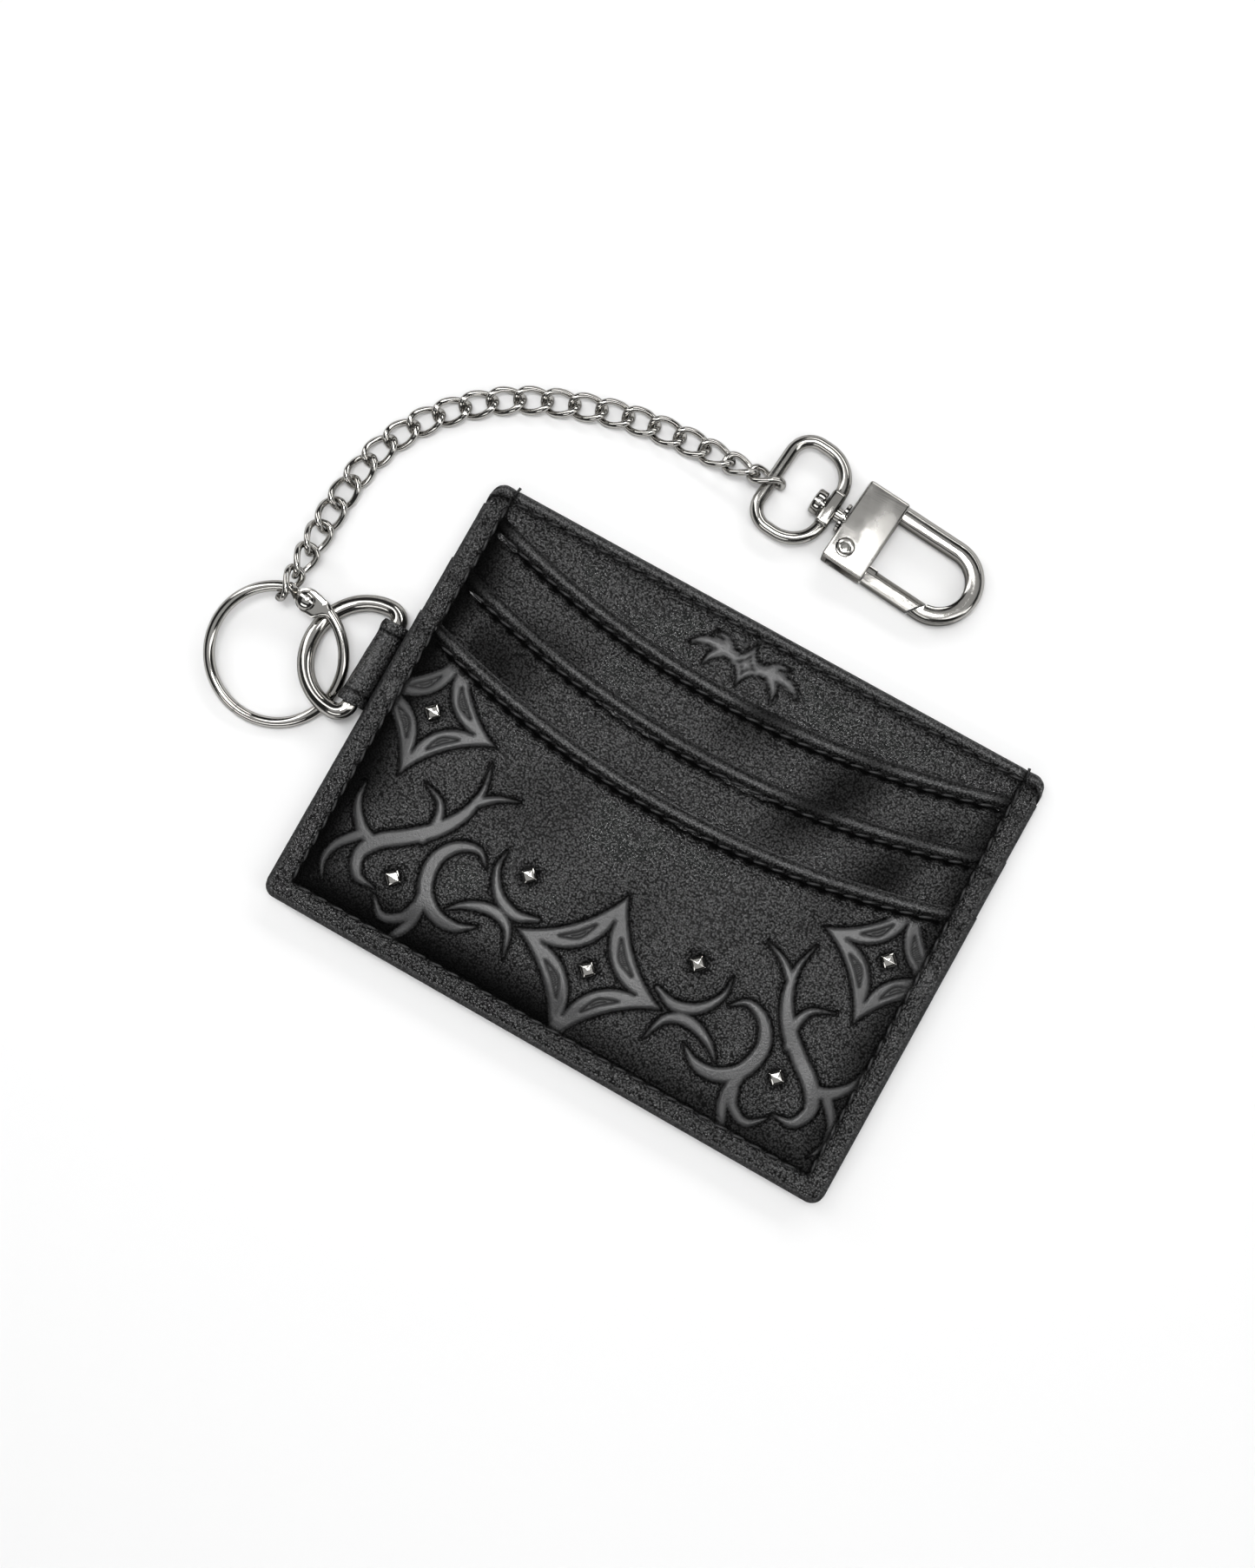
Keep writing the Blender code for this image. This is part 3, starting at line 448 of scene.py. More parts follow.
def front_face(x, y, top):
    """Front sheet: turned top edge, sewn channel and the small pressed ornament, with a painted highlight on
    the turned edge's crest and painted shade on its flanks and in the channels.
    """
    side, upper = edge_distance(x, y, top)
    rise = seam_profile(side)
    bead = np.sqrt(unit(1 - ((upper - 0.9) / 0.85) ** 2))
    rise += 0.3 * bead - 0.35 * unit(1 - upper / 0.3) ** 2
    rise -= 0.32 * ridge(upper, 2.1, 0.42) + 0.1 * puckers(x, upper, 2.7)
    rise += 0.25 * unit((upper - 2.4) / 2.5)
    gap = star_distance(x, y, MARK_MIDDLE, 3.7, 1.25)
    for turn in (-1.0, 1.0):
        for stroke in (
            [(1.6, 30.9, 0.9), (4.6, 31.6, 1.0), (7.8, 31.2, 0.6), (9.8, 29.8, 0.05)],
            [(3.0, 31.3, 0.7), (4.4, 32.9, 0.5), (6.8, 33.6, 0.05)],
            [(4.0, 31.2, 0.8), (5.6, 29.6, 0.55), (6.2, 27.7, 0.05)],
        ):
            gap = np.minimum(gap, stroke_distance(x, y, stroke, turn, MARK_MIDDLE[0]))
    lines = np.abs(star_distance(x, y, MARK_MIDDLE, 1.7, 1.2))
    mark, smooth, shade_paint = pressed_relief(gap, lines)
    near = np.exp(-np.clip(gap, 0, None) / 1.2)
    rise += mark * near
    smooth = np.maximum(smooth, 0.6 * unit((0.95 - np.minimum(side, upper + 0.3)) / 0.2))
    # Painted highlight along the crest of the turned edge, and painted shade on its flanks and in the sewn
    # channels.
    painted_highlight = ridge(upper, 1.0, 0.4)
    smooth = np.maximum(smooth, 0.5 * painted_highlight)
    shade_paint = np.maximum(shade_paint, 0.5 * (1 - painted_highlight) * (upper < 1.9))
    shade_paint = np.maximum(shade_paint * 0.95, 0.85 * ridge(upper, 2.1, 0.42) + 0.4 * puckers(x, upper, 2.8))
    shade_paint = np.maximum(shade_paint, 0.9 * ridge(side, CHANNEL_IN, 0.5))
    return rise, smooth, unit(shade_paint)


leather_sheet("front_leather", top_line, True, FRONT_TOP, FRONT_FOOT, 400, 150, front_face, ("front_panel",))


# ------------------------ upper and middle slots
# Two sheets laid one on the other, each with its dipped mouth turned over a cord and sewn just below.
# The leather bellies out a little between the side seams, where cards have stretched it.

MOUTH_RISE = 7.0
MOUTH_END = 46.0
UPPER_MOUTH, UPPER_FOOT, UPPER_TOP = 26.0, 2.65, 3.3
MIDDLE_MOUTH, MIDDLE_FOOT, MIDDLE_TOP = 15.8, 3.45, 4.1


def mouth_line(middle):
    """The upper edge of a slot sheet, as a function of the place along it."""
    def edge(x):
        inside = np.minimum(np.abs(x), MOUTH_END)
        return middle + MOUTH_RISE * (inside / MOUTH_END) ** 2 + 0.4 * (np.abs(x) > MOUTH_END)
    return edge


def slot_face(x, y, top):
    """A turned bead along the mouth, its gathered sewn channel, then a belly that cards have stretched.
    Painted highlights lie on the mouth's cut edge and the bead's crest, and painted shade in the channels, on
    the bead's flanks, beside the side seams and in the belly's dips.
    """
    side, upper = edge_distance(x, y, top)
    rise = seam_profile(side) - 0.1 * puckers(y, side, 4.5)
    sewn_in = 0.12 + 0.88 * unit((side - 3.2) / 1.6)
    bead = np.sqrt(unit(1 - ((upper - 1.15) / 0.95) ** 2)) * sewn_in
    rise += 0.6 * bead + 0.16 * ridge(upper, 0.12, 0.14) * sewn_in
    rise -= (0.4 * ridge(upper, 2.65, 0.6) + 0.18 * puckers(x, upper, 3.3)) * sewn_in
    inner = unit((side - 4.2) / 7.0)
    belly = inner * inner * (3 - 2 * inner)
    rise += 0.36 * belly * unit((upper - 2.6) / 3.2)
    swells = np.sin(x / 5.6 + top / 4.0) * np.sin(x / 11.0 - y / 6.0 + top / 3.0) - 0.12
    rise += 0.24 * belly * swells * unit((upper - 3.0) / 2.0)
    dip = ridge(side, 6.5, 2.6) * (0.55 + 0.45 * (x < 0))
    rise -= 0.3 * dip
    smooth = 0.6 * unit((0.95 - side) / 0.2)
    # Painted highlight along the mouth's cut edge and the bead's crest.
    smooth = np.maximum(smooth, ridge(upper, 0.12, 0.14) * sewn_in)
    painted_highlight = ridge(upper, 1.2, 0.42) * sewn_in
    smooth = np.maximum(smooth, 0.6 * painted_highlight)
    # Painted shade in the sewn channels and on the bead's flanks.
    shade_paint = ridge(upper, 2.75, 0.62) + 0.6 * puckers(x, upper, 3.4)
    shade_paint = np.maximum(shade_paint, 0.8 * ridge(upper, 0.33, 0.12)) * (0.25 + 0.75 * sewn_in)
    shade_paint = np.maximum(shade_paint, 0.55 * (1 - painted_highlight) * sewn_in * (upper < 2.4) * (upper > 0.3))
    shade_paint = np.maximum(shade_paint, 0.45 * unit((0.95 - side) / 0.2))
    shade_paint = np.maximum(shade_paint, 0.95 * ridge(side, 3.85, 0.55) + 0.4 * puckers(y, side, 4.6))
    # Painted shade reaching in from the side seams, wider and darker on the left half.
    reach = np.where(x < 0, 5.6, 4.0) * (0.8 + 0.2 * np.sin(y / 2.7))
    shade = np.where(x < 0, 0.97, 0.7) * np.exp(-(np.clip(side - 4.4, 0, None) / reach) ** 2) * (side > 3.6)
    shade_paint = np.maximum(shade_paint, shade)
    # Painted shade in the dips of the belly's swells.
    shade_paint = np.maximum(shade_paint, 0.75 * unit(-0.05 - swells) * belly * np.where(top < 14, 0.3, 1.0))
    return rise, smooth, unit(shade_paint)


for label, mouth, top, foot, rows in (
    ("upper", UPPER_MOUTH, UPPER_TOP, UPPER_FOOT, 240),
    ("middle", MIDDLE_MOUTH, MIDDLE_TOP, MIDDLE_FOOT, 200),
):
    leather_sheet(
        label + "_slot_leather", mouth_line(mouth), True, top, foot, 340, rows, slot_face,
        ("slot_panel_" + label,),
    )


# ------------------------ lower slot with its pressed work
# The front slot's sheet has foam behind it. A die presses smooth stars and thorned scrolls into it, and
# the leather between them stays grained and stands up. The scrolls here are a plain pattern of this file.

LOWER_MOUTH, LOWER_FOOT, LOWER_TOP = 5.9, 4.25, 5.0
# Strokes of the right half's scrolls, as rows of place and half width. The left half mirrors them.
SCROLLS = (
    [
        (27.8, -2.6, 0.05), (26.9, -7.0, 0.5), (27.6, -11.5, 0.95), (30.2, -15.8, 1.25), (33.8, -19.1, 1.3),
        (37.4, -21.9, 1.3), (39.2, -25.2, 1.1), (37.8, -28.3, 0.8), (34.4, -28.7, 0.08),
    ],
    [(27.0, -9.2, 0.85), (24.2, -7.0, 0.5), (21.0, -5.7, 0.05)],
    [(35.4, -10.3, 0.05), (31.9, -12.0, 0.55), (30.8, -15.4, 0.85), (31.6, -18.2, 0.9)],
    [
        (20.4, -17.3, 0.05), (23.0, -15.5, 0.6), (26.4, -16.9, 0.95), (28.2, -20.6, 1.2), (27.2, -25.0, 1.25),
        (24.0, -27.6, 1.15), (20.4, -27.8, 0.85), (17.2, -26.0, 0.05),
    ],
    [(18.9, -13.3, 0.05), (18.9, -16.6, 0.5), (16.7, -20.0, 0.85), (13.0, -21.5, 0.9), (9.4, -20.4, 0.35)],
    [(23.0, -26.1, 0.05), (20.2, -23.8, 0.65), (16.2, -22.6, 0.95), (12.9, -24.0, 0.7), (11.2, -28.4, 0.05)],
    [(44.0, -14.6, 0.05), (43.4, -18.4, 0.6), (41.0, -21.4, 0.95), (38.4, -22.6, 1.1)],
    [(40.4, -22.2, 0.9), (43.2, -25.6, 0.7), (43.8, -28.8, 0.45), (42.4, -31.6, 0.05)],
    [(27.0, -26.0, 1.1), (26.8, -30.6, 0.9), (28.4, -34.2, 0.55), (29.4, -37.2, 0.1)],
    [(34.0, -29.6, 0.1), (31.4, -31.9, 0.65), (28.4, -30.6, 0.8), (27.2, -28.0, 0.9)],
)
# Middle and reach of each star.
STARS = (((-39.9, 0.0), 11.2), ((41.1, 0.6), 11.0), ((1.2, -23.1), 13.0))
# A leaf in each side of a star: its line by shares of the star's reach, and its half width.
LEAF = ((0.5, 0.17, 0.03), (0.37, 0.245, 0.36), (0.298, 0.298, 0.46), (0.245, 0.37, 0.36), (0.17, 0.5, 0.03))
STUD_PLACES = (
    (-40.0, 0.0), (-32.5, -25.8), (-14.0, -15.0), (1.2, -23.3), (15.7, -14.0), (34.8, -23.4), (41.2, 0.9),
)


def ornament_face(x, y, top):
    """Sewn edge and bead as on the other slots, with the pressed stars and scrolls, painted shade just
    outside the pressed work and a ring of painted shade round each stud.
    """
    side, upper = edge_distance(x, y, top)
    gap = np.full(x.shape, 9.0)
    lines = np.full(x.shape, 9.0)
    for middle, reach in STARS:
        outer = star_distance(x, y, middle, reach, 1.7)
        inner = star_distance(x, y, middle, reach * 0.64, 1.05)
        gap = np.minimum(gap, np.maximum(outer, -inner))
        for turn_x in (-1, 1):
            for turn_y in (-1, 1):
                leaf = [
                    (middle[0] + turn_x * a * reach, middle[1] + turn_y * b * reach, half)
                    for a, b, half in LEAF
                ]
                vein = [(a, b, 0.0) for a, b, half in leaf[1:-1]]
                for line in (leaf, vein):
                    lines = np.minimum(lines, np.abs(stroke_distance(x, y, line)))
    for turn, shift in ((-1.0, 0.0), (1.0, 2.6)):
        for stroke in SCROLLS:
            gap = np.minimum(gap, stroke_distance(x, y, stroke, turn, shift))
    mark, smooth, shade_paint = pressed_relief(gap, lines)
    body = unit((upper - 3.0) / 1.4)
    rise, edge_smooth, edge_shade_paint = slot_face(x, y, top)
    border = unit((side - 3.4) / 1.2)
    rise += mark * body * (0.15 + 0.85 * border)
    # Painted shade on the grained leather just outside the pressed work.
    painted_flank_shade = np.exp(-np.clip(gap, 0, None) / 0.55) * (gap > 0)
    shade_paint = np.maximum(shade_paint, 0.55 * painted_flank_shade)
    smooth = np.maximum(smooth * body * (0.25 + 0.75 * border), edge_smooth)
    shade_paint = np.maximum(shade_paint * body * (0.4 + 0.6 * border), edge_shade_paint * (1 - 0.6 * smooth * border))
    # Each stud sits in a flat spot, with a ring of painted shade round it.
    for a, b in STUD_PLACES:
        spot = np.hypot(x - a, y - b)
        held = np.exp(-(spot / 2.1) ** 4)
        rise = rise * (1 - held) - 0.02 * held
        shade_paint = np.maximum(shade_paint, 0.9 * ridge(spot, 1.0, 0.9))
    return rise, smooth, unit(shade_paint)


leather_sheet(
    "lower_slot_leather", mouth_line(LOWER_MOUTH), True, LOWER_TOP, LOWER_FOOT, 440, 210, ornament_face,
    ("slot_panel_lower",),
)


# ------------------------ studs
# Seven small cast pyramids with concave sides, nickel plated and tumbled, pushed through the lower sheet
# and bent over behind it.

def nickel_plate(name, colour, roughness, haze_scale, haze_detail, spread, shine):
    """A nickel finish whose shine drifts in soft clouds between a clear and a hazy roughness."""
    made, tree, shader, place = start_material(name, colour, 1.0, roughness)
    haze = add_node(tree, "ShaderNodeTexNoise", {"Vector": place, "Scale": haze_scale, "Detail": haze_detail})
    add_node(
        tree, "ShaderNodeMapRange",
        {"Value": haze, "From Min": spread[0], "From Max": spread[1], "To Min": shine[0], "To Max": shine[1]},
        shader.inputs["Roughness"],
    )
    return made, tree, shader, place


# Bright nickel: electroplated over zinc, polished, with fine rubbing marks that only break the shine.
bright_nickel, tree, shader, place = nickel_plate(
    "polished_nickel_plate", "B7B5B1", 0.13, 420.0, 5.0, (0.35, 0.7), (0.05, 0.15),
)
marks = add_node(tree, "ShaderNodeTexNoise", {"Vector": place, "Scale": 2600.0, "Detail": 3.0})
add_node(
    tree, "ShaderNodeBump", {"Height": marks, "Strength": 0.12, "Distance": 0.00003},
    shader.inputs["Normal"],
)


def round_edges(bm, edges, softness, segments):
    """Break sharp edges with a small radius."""
    bmesh.ops.bevel(
        bm, geom=edges, offset=softness, segments=segments, affect="EDGES", profile=0.5, material=-1,
    )


STUD_REACH = 1.42
SIDE_HOLLOW = 0.26
for number, (stud_x, stud_y) in enumerate(STUD_PLACES, 1):
    bm = bmesh.new()
    skirt = Matrix.Translation((stud_x, stud_y, LOWER_TOP + 0.22))
    bmesh.ops.create_cone(
        bm, cap_ends=True, segments=8, radius1=STUD_REACH, radius2=1.4, depth=0.32, matrix=skirt,
    )
    top = max(bm.faces, key=lambda face: face.calc_center_median().z)
    bmesh.ops.inset_region(bm, faces=[top], thickness=0.42, depth=0.17)
    bmesh.ops.poke(bm, faces=[top], offset=0.12)
    for vert in bm.verts:
        offset = Vector((vert.co.x - stud_x, vert.co.y - stud_y, 0.0))
        if min(abs(offset.x), abs(offset.y)) > 0.03:
            vert.co -= offset * SIDE_HOLLOW
    round_edges(bm, bm.edges, 0.04, 2)
    post = Matrix.Translation((stud_x, stud_y, LOWER_TOP - 0.3))
    bmesh.ops.create_cone(bm, cap_ends=True, segments=16, radius1=0.42, radius2=0.42, depth=0.8, matrix=post)
    name = "stud_%02d" % number
    finish_piece(bm, "pyramid_" + name, bright_nickel, "wallet", (name,), sharp=20.0)


# ------------------------ sewing
# Bonded polyester thread, half a millimetre thick, lock-stitched at three millimetres. Each stitch lies
# slightly askew in its channel and is pulled down at both ends.

# Bonded polyester: twisted filaments with a wax finish, satin black.
thread, tree, shader, place = start_material("bonded_polyester_thread", "0C0C0D", 0.0, 0.5)
twist = add_node(
    tree, "ShaderNodeTexWave", {"Vector": place, "Scale": 700.0, "Distortion": 1.5},
    bands_direction="DIAGONAL",
)
add_node(
    tree, "ShaderNodeBump", {"Height": twist.outputs["Fac"], "Strength": 0.5, "Distance": 0.00006},
    shader.inputs["Normal"],
)

SEAM_X = 46.4
LOW_SEAM_Y = -34.3
TOP_SEAM_Y = 35.9
BACK_TOP_SEAM_Y = 34.2
BACK_STITCH_Z = 0.22
STITCH_LENGTH = 2.3
STITCH_HALVES = (1.22, 0.29, 0.24)
ASKEW = math.radians(7.0)


def stitch_row(name, path, nodes=()):
    """Separate stitches laid along a path of (x, y, height), as one piece."""
    path = np.array(path, float)
    steps = np.hypot(np.diff(path[:, 0]), np.diff(path[:, 1]))
    along = np.append(0.0, np.cumsum(steps))
    bm = bmesh.new()
    for start in np.arange(0.4, along[-1] - 1.5, STITCH_PITCH):
        head, tail = (
            Vector([np.interp(end, along, path[:, axis]) for axis in range(3)])
            for end in (start, start + STITCH_LENGTH)
        )
        turn = (tail - head).to_track_quat("X", "Z").to_matrix().to_4x4()
        lie = Matrix.Translation((head + tail) / 2) @ turn @ Matrix.Rotation(ASKEW, 4, "Z")
        shape = lie @ Matrix.Diagonal((*STITCH_HALVES, 1.0))
        bmesh.ops.create_uvsphere(bm, u_segments=8, v_segments=6, radius=1.0, matrix=shape)
    return finish_piece(bm, name, thread, "wallet", nodes, merge=False)


def stack_height(x, y):
    """Top of the leather stack in the seam channel."""
    for mouth, height in ((LOWER_MOUTH, LOWER_TOP), (MIDDLE_MOUTH, MIDDLE_TOP), (UPPER_MOUTH, UPPER_TOP)):
        if y < mouth_line(mouth)(np.array(x)) - 0.1:
            return height
    return FRONT_TOP


for side, label in ((-SEAM_X, "left"), (SEAM_X, "right")):
    column = [(side, y, stack_height(side, y) - 0.12) for y in np.arange(-34.0, 36.4, 0.25)]
    stitch_row("side_stitches_" + label, column, ("thread_sides",) if side < 0 else ())
level_row = np.arange(-45.5, 45.8, 0.5)
stitch_row("foot_stitches", [(x, LOW_SEAM_Y, LOWER_TOP - 0.12) for x in level_row])
crown = [(x, TOP_SEAM_Y, FRONT_TOP - 0.22) for x in np.arange(-46.0, 46.3, 0.5)]
stitch_row("top_stitches", crown, ("thread_top",))
for label, mouth, height in (
    ("upper", UPPER_MOUTH, UPPER_TOP), ("middle", MIDDLE_MOUTH, MIDDLE_TOP),
    ("lower", LOWER_MOUTH, LOWER_TOP),
):
    row = [(x, float(mouth_line(mouth)(x)) - 2.45, height - 0.1) for x in np.arange(-44.4, 44.5, 0.5)]
    stitch_row("mouth_stitches_" + label, row, ("thread_mouth_" + label,))
for side, label in ((-SEAM_X, "left"), (SEAM_X, "right")):
    column = [(side, y, BACK_STITCH_Z) for y in np.arange(-34.0, 34.4, 0.5)]
    stitch_row("side_stitches_back_" + label, column)
stitch_row("stitches_back_foot", [(x, LOW_SEAM_Y, BACK_STITCH_Z) for x in level_row])
stitch_row("stitches_back_top", [(x, BACK_TOP_SEAM_Y, BACK_STITCH_Z) for x in level_row])
for label, tail_x, tail_y, lean in (("left", -46.2, 37.6, -0.2), ("right", 46.4, 37.4, 0.25)):
    bm = bmesh.new()
    stub = Matrix.Translation((tail_x, tail_y, FRONT_TOP + 0.1))
    stub = stub @ Matrix.Rotation(lean, 4, "Z") @ Matrix.Rotation(-1.45, 4, "X")
    bmesh.ops.create_cone(bm, cap_ends=True, segments=8, radius1=0.2, radius2=0.27, depth=1.5, matrix=stub)
    round_edges(bm, bm.edges, 0.06, 1)
    finish_piece(bm, "thread_tail_" + label, thread, "wallet")


# ------------------------ ring tab
# A strip of the same leather folded round the D-ring's bar, both ends sewn between the wallet's layers.
# Its cut sides are painted, and the turned ends stand a little proud.

swing = joints["d_ring_swing"]
bar_middle = Vector(swing["pos_m"]) * 1000
bar_along = Vector(swing["axis"])
TAB_LOW = -5.2
TAB_HIGH = 9.5
TAB_ROOT_X = -46.2
TAB_RADIUS = 2.28
UNDER_END, WRAP_END = 0.16, 0.84
bm = bmesh.new()
bmesh.ops.create_grid(bm, x_segments=90, y_segments=56, size=1.0)
slope = bar_along.z / bar_along.y
for vert in bm.verts:
    share = (vert.co.x + 1) / 2
    y = TAB_LOW + (TAB_HIGH - TAB_LOW) * (vert.co.y + 1) / 2
    dip = slope * (y - bar_middle.y)
    rim = min(y - TAB_LOW, TAB_HIGH - y)
    swell = 0.1 * math.exp(-((rim - 0.9) / 0.5) ** 2) - 0.12 * math.exp(-(rim / 0.3) ** 2)
    swell += 0.12 / (1 + math.exp(-(y - 7.7) * 6)) + 0.1 / (1 + math.exp((y + 3.2) * 6))
    swell += 0.03 * math.sin(y * 1.3) * math.sin(share * 9)
    radius = TAB_RADIUS + swell
    if share < UNDER_END:
        t = share / UNDER_END
        x = TAB_ROOT_X + (bar_middle.x - TAB_ROOT_X) * t
        z = 0.98 + (bar_middle.z + dip - radius - 0.98) * max(0.0, (t - 0.55) / 0.45) ** 1.5
    elif share < WRAP_END:
        angle = math.radians(-90 - 262 * (share - UNDER_END) / (WRAP_END - UNDER_END))
        x = bar_middle.x + radius * math.cos(angle)
        z = bar_middle.z + dip + radius * math.sin(angle)
    else:
        t = (share - WRAP_END) / (1 - WRAP_END)
        angle = math.radians(-352)
        start_x = bar_middle.x + radius * math.cos(angle)
        start_z = bar_middle.z + dip + radius * math.sin(angle)
        x = start_x + (TAB_ROOT_X - start_x) * max(0.0, (t - 0.35) / 0.65)
        z = start_z + (1.57 - start_z) * min(1.0, t / 0.4)
    outside = UNDER_END < share < 0.9 and z > 1.6
    vert.co = (min(x, -HALF_LENGTH - 0.08) if outside else x, y, max(z, 0.0))
folded = finish_piece(
    bm, "ring_tab_leather", leather, "wallet", ("ring_tab",), merge=False, sharp=70,
)
spots = np.array([vert.co for vert in folded.data.vertices]) * 1000
# Painted shade along the fold lines and down the tab's sides, and a painted highlight along the crest of the
# roll.
fold_lines = ridge(spots[:, 1], 7.6, 0.3) + 0.8 * ridge(spots[:, 1], -3.2, 0.3)
sides = ridge(spots[:, 0], -49.9, 0.7) + np.exp(-((spots[:, 0] - bar_middle.x + 2.3) / 0.45) ** 2)
painted_highlight = np.exp(-((spots[:, 0] - bar_middle.x + 0.5) / 0.7) ** 2) * (1 - unit(fold_lines))
mark_leather(folded, 0.5 * painted_highlight, unit(0.9 * fold_lines + 0.8 * sides))
thickness = folded.modifiers.new("leather", "SOLIDIFY")
thickness.thickness = 0.0006
thickness.offset = -1.0


# ------------------------ D-ring
# Die-cast zinc D-ring, tumbled and nickel plated. Its straight side is the bar that the leather tab is
# folded round, and it swings on that bar.

# Cast nickel: plated over a tumbled casting, so it is a little softer and its surface wavers.
cast_nickel, tree, shader, place = nickel_plate(
    "cast_nickel_plate", "ADABA7", 0.2, 260.0, 6.0, (0.35, 0.7), (0.07, 0.2),
)
waver = add_node(tree, "ShaderNodeTexNoise", {"Vector": place, "Scale": 330.0, "Detail": 2.0})
pits = add_node(tree, "ShaderNodeTexNoise", {"Vector": place, "Scale": 3200.0, "Detail": 2.0})
surface = add_node(tree, "ShaderNodeMath", {0: pits, 1: 0.12, 2: waver}, operation="MULTIPLY_ADD")
add_node(
    tree, "ShaderNodeBump", {"Height": surface, "Strength": 0.16, "Distance": 0.0002},
    shader.inputs["Normal"],
)


def swept_wire(points, radius, closed=False, resolution=6):
    """A round wire along points, as a millimetre bmesh."""
    curve = bpy.data.curves.new("path", "CURVE")
    curve.dimensions = "3D"
    curve.bevel_depth = radius
    curve.bevel_resolution = resolution
    curve.use_fill_caps = not closed
    spline = curve.splines.new("POLY")
    spline.points.add(len(points) - 1)
    for knot, spot in zip(spline.points, points):
        knot.co = (*spot, 1.0)
    spline.use_cyclic_u = closed
    holder = set_out("path", curve)
    mesh = bpy.data.meshes.new_from_object(holder.evaluated_get(bpy.context.evaluated_depsgraph_get()))
    bpy.data.objects.remove(holder)
    bpy.data.curves.remove(curve)
    bm = bmesh.new()
    bm.from_mesh(mesh)
    bpy.data.meshes.remove(mesh)
    return bm


def arc(middle, radius, start, end, steps):
    """Points on a circular arc, in degrees."""
    made = []
    for index in range(steps + 1):
        angle = math.radians(start + (end - start) * index / steps)
        made.append((middle[0] + radius * math.cos(angle), middle[1] + radius * math.sin(angle)))
    return made


D_WIRE = 1.35
D_HALF = 9.4
D_REACH = 9.15
D_CORNER = 2.1
straight = D_HALF - D_CORNER
outline = [(0.0, -straight + 2 * straight * step / 12) for step in range(13)]
outline += arc((-D_CORNER, straight), D_CORNER, 9, 81, 8)
for step in range(61):
    angle = math.radians(90 + 3 * step)
    outline.append((-D_CORNER + D_REACH * math.cos(angle), D_HALF * math.sin(angle)))
outline += arc((-D_CORNER, -straight), D_CORNER, 279, 351, 8)
points = [bar_middle + Vector((x, y, 0.11 * x + slope * y)) for x, y in outline]
bm = swept_wire(points, D_WIRE, closed=True)
finish_piece(bm, "d_ring_casting", cast_nickel, "d_ring", ("d_ring",))


# ------------------------ hinged ring
# Round steel wire bent to a ring and parted low down. One half ends in a hammered plate, the other in a
# lug under it, and a domed rivet lets the second half swing open. All nickel plated.

turning = joints["ring_turn"]
ring_middle = Vector(turning["pos_m"]) * 1000
ring_level = Vector((0, 0, 1)).rotation_difference(Vector(turning["axis"])).to_matrix().to_4x4()
ring_place = Matrix.Translation(ring_middle) @ ring_level
RING_RADIUS = 10.95
RING_WIRE = 0.9
RIVET = (0.4, 10.05)
# Angles round the ring, in degrees: where the wire ends, and where each half is hammered flat.
HINGED_END, OPENING_END = -99.0, 260.2
PLATE_ROOT, PLATE_FLAT, PLATE_END = 63.0, 74.0, 97.6
LUG_END, LUG_FLAT, LUG_ROOT = 78.2, 98.0, 105.5


def swept_section(stations):
    """A closed body through sections: each is a matrix whose X and Y are the half sizes, and a flatness."""
    bm = bmesh.new()
    last = None
    for index, (matrix, flatness) in enumerate(stations):
        at_end = index in (0, len(stations) - 1)
        circle = bmesh.ops.create_circle(bm, cap_ends=at_end, segments=20, radius=1.0)
        for vert in circle["verts"]:
            vert.co.y = math.copysign(abs(vert.co.y) ** (1 - 0.72 * flatness), vert.co.y)
        bmesh.ops.transform(bm, matrix=matrix, verts=circle["verts"])
        around = list({
            edge for vert in circle["verts"] for edge in vert.link_edges
            if edge.other_vert(vert) in circle["verts"]
        })
        if last:
            bmesh.ops.bridge_loops(bm, edges=last + around)
        last = around
    return bm


def ring_station(angle, radial, wide, thick, height, flatness=0.0):
    """Section across the ring at an angle in degrees."""
    turn = math.radians(angle)
    outward = Vector((math.cos(turn), math.sin(turn), 0.0))
    onward = Vector((-math.sin(turn), math.cos(turn), 0.0))
    upward = Vector((0.0, 0.0, 1.0))
    axes = Matrix((outward * wide, upward * thick, onward)).transposed().to_4x4()
    return ring_place @ Matrix.Translation(outward * radial + upward * height) @ axes, flatness


stations = []
for step in range(101):
    angle = HINGED_END + (PLATE_ROOT - HINGED_END) * step / 100
    stations.append(ring_station(angle, RING_RADIUS, RING_WIRE, RING_WIRE, 0.0))
for step in range(1, 15):
    share = step / 14
    ease = share * share * (3 - 2 * share)
    angle = PLATE_ROOT + (PLATE_FLAT - PLATE_ROOT) * share
    wide = RING_WIRE + 0.95 * ease
    thick = RING_WIRE - 0.38 * ease
    stations.append(ring_station(angle, RING_RADIUS - 0.75 * ease, wide, thick, 0.56 * ease, ease))
for step in range(1, 25):
    angle = PLATE_FLAT + (PLATE_END - PLATE_FLAT) * step / 24
    past = max(0.0, (angle - 86.0) / 12.2)
    wide = 2.05 * math.sqrt(max(0.012, 1 - past ** 2)) if past else 1.85 + 0.2 * (angle - PLATE_FLAT) / 12.0
    stations.append(ring_station(angle, RING_RADIUS - 0.8, wide, 0.5 if past < 0.95 else 0.3, 0.58, 1.0))
bm = swept_section(stations)
finish_piece(bm, "ring_hinged_wire", bright_nickel, "ring_body", ("ring_hinged_half",))

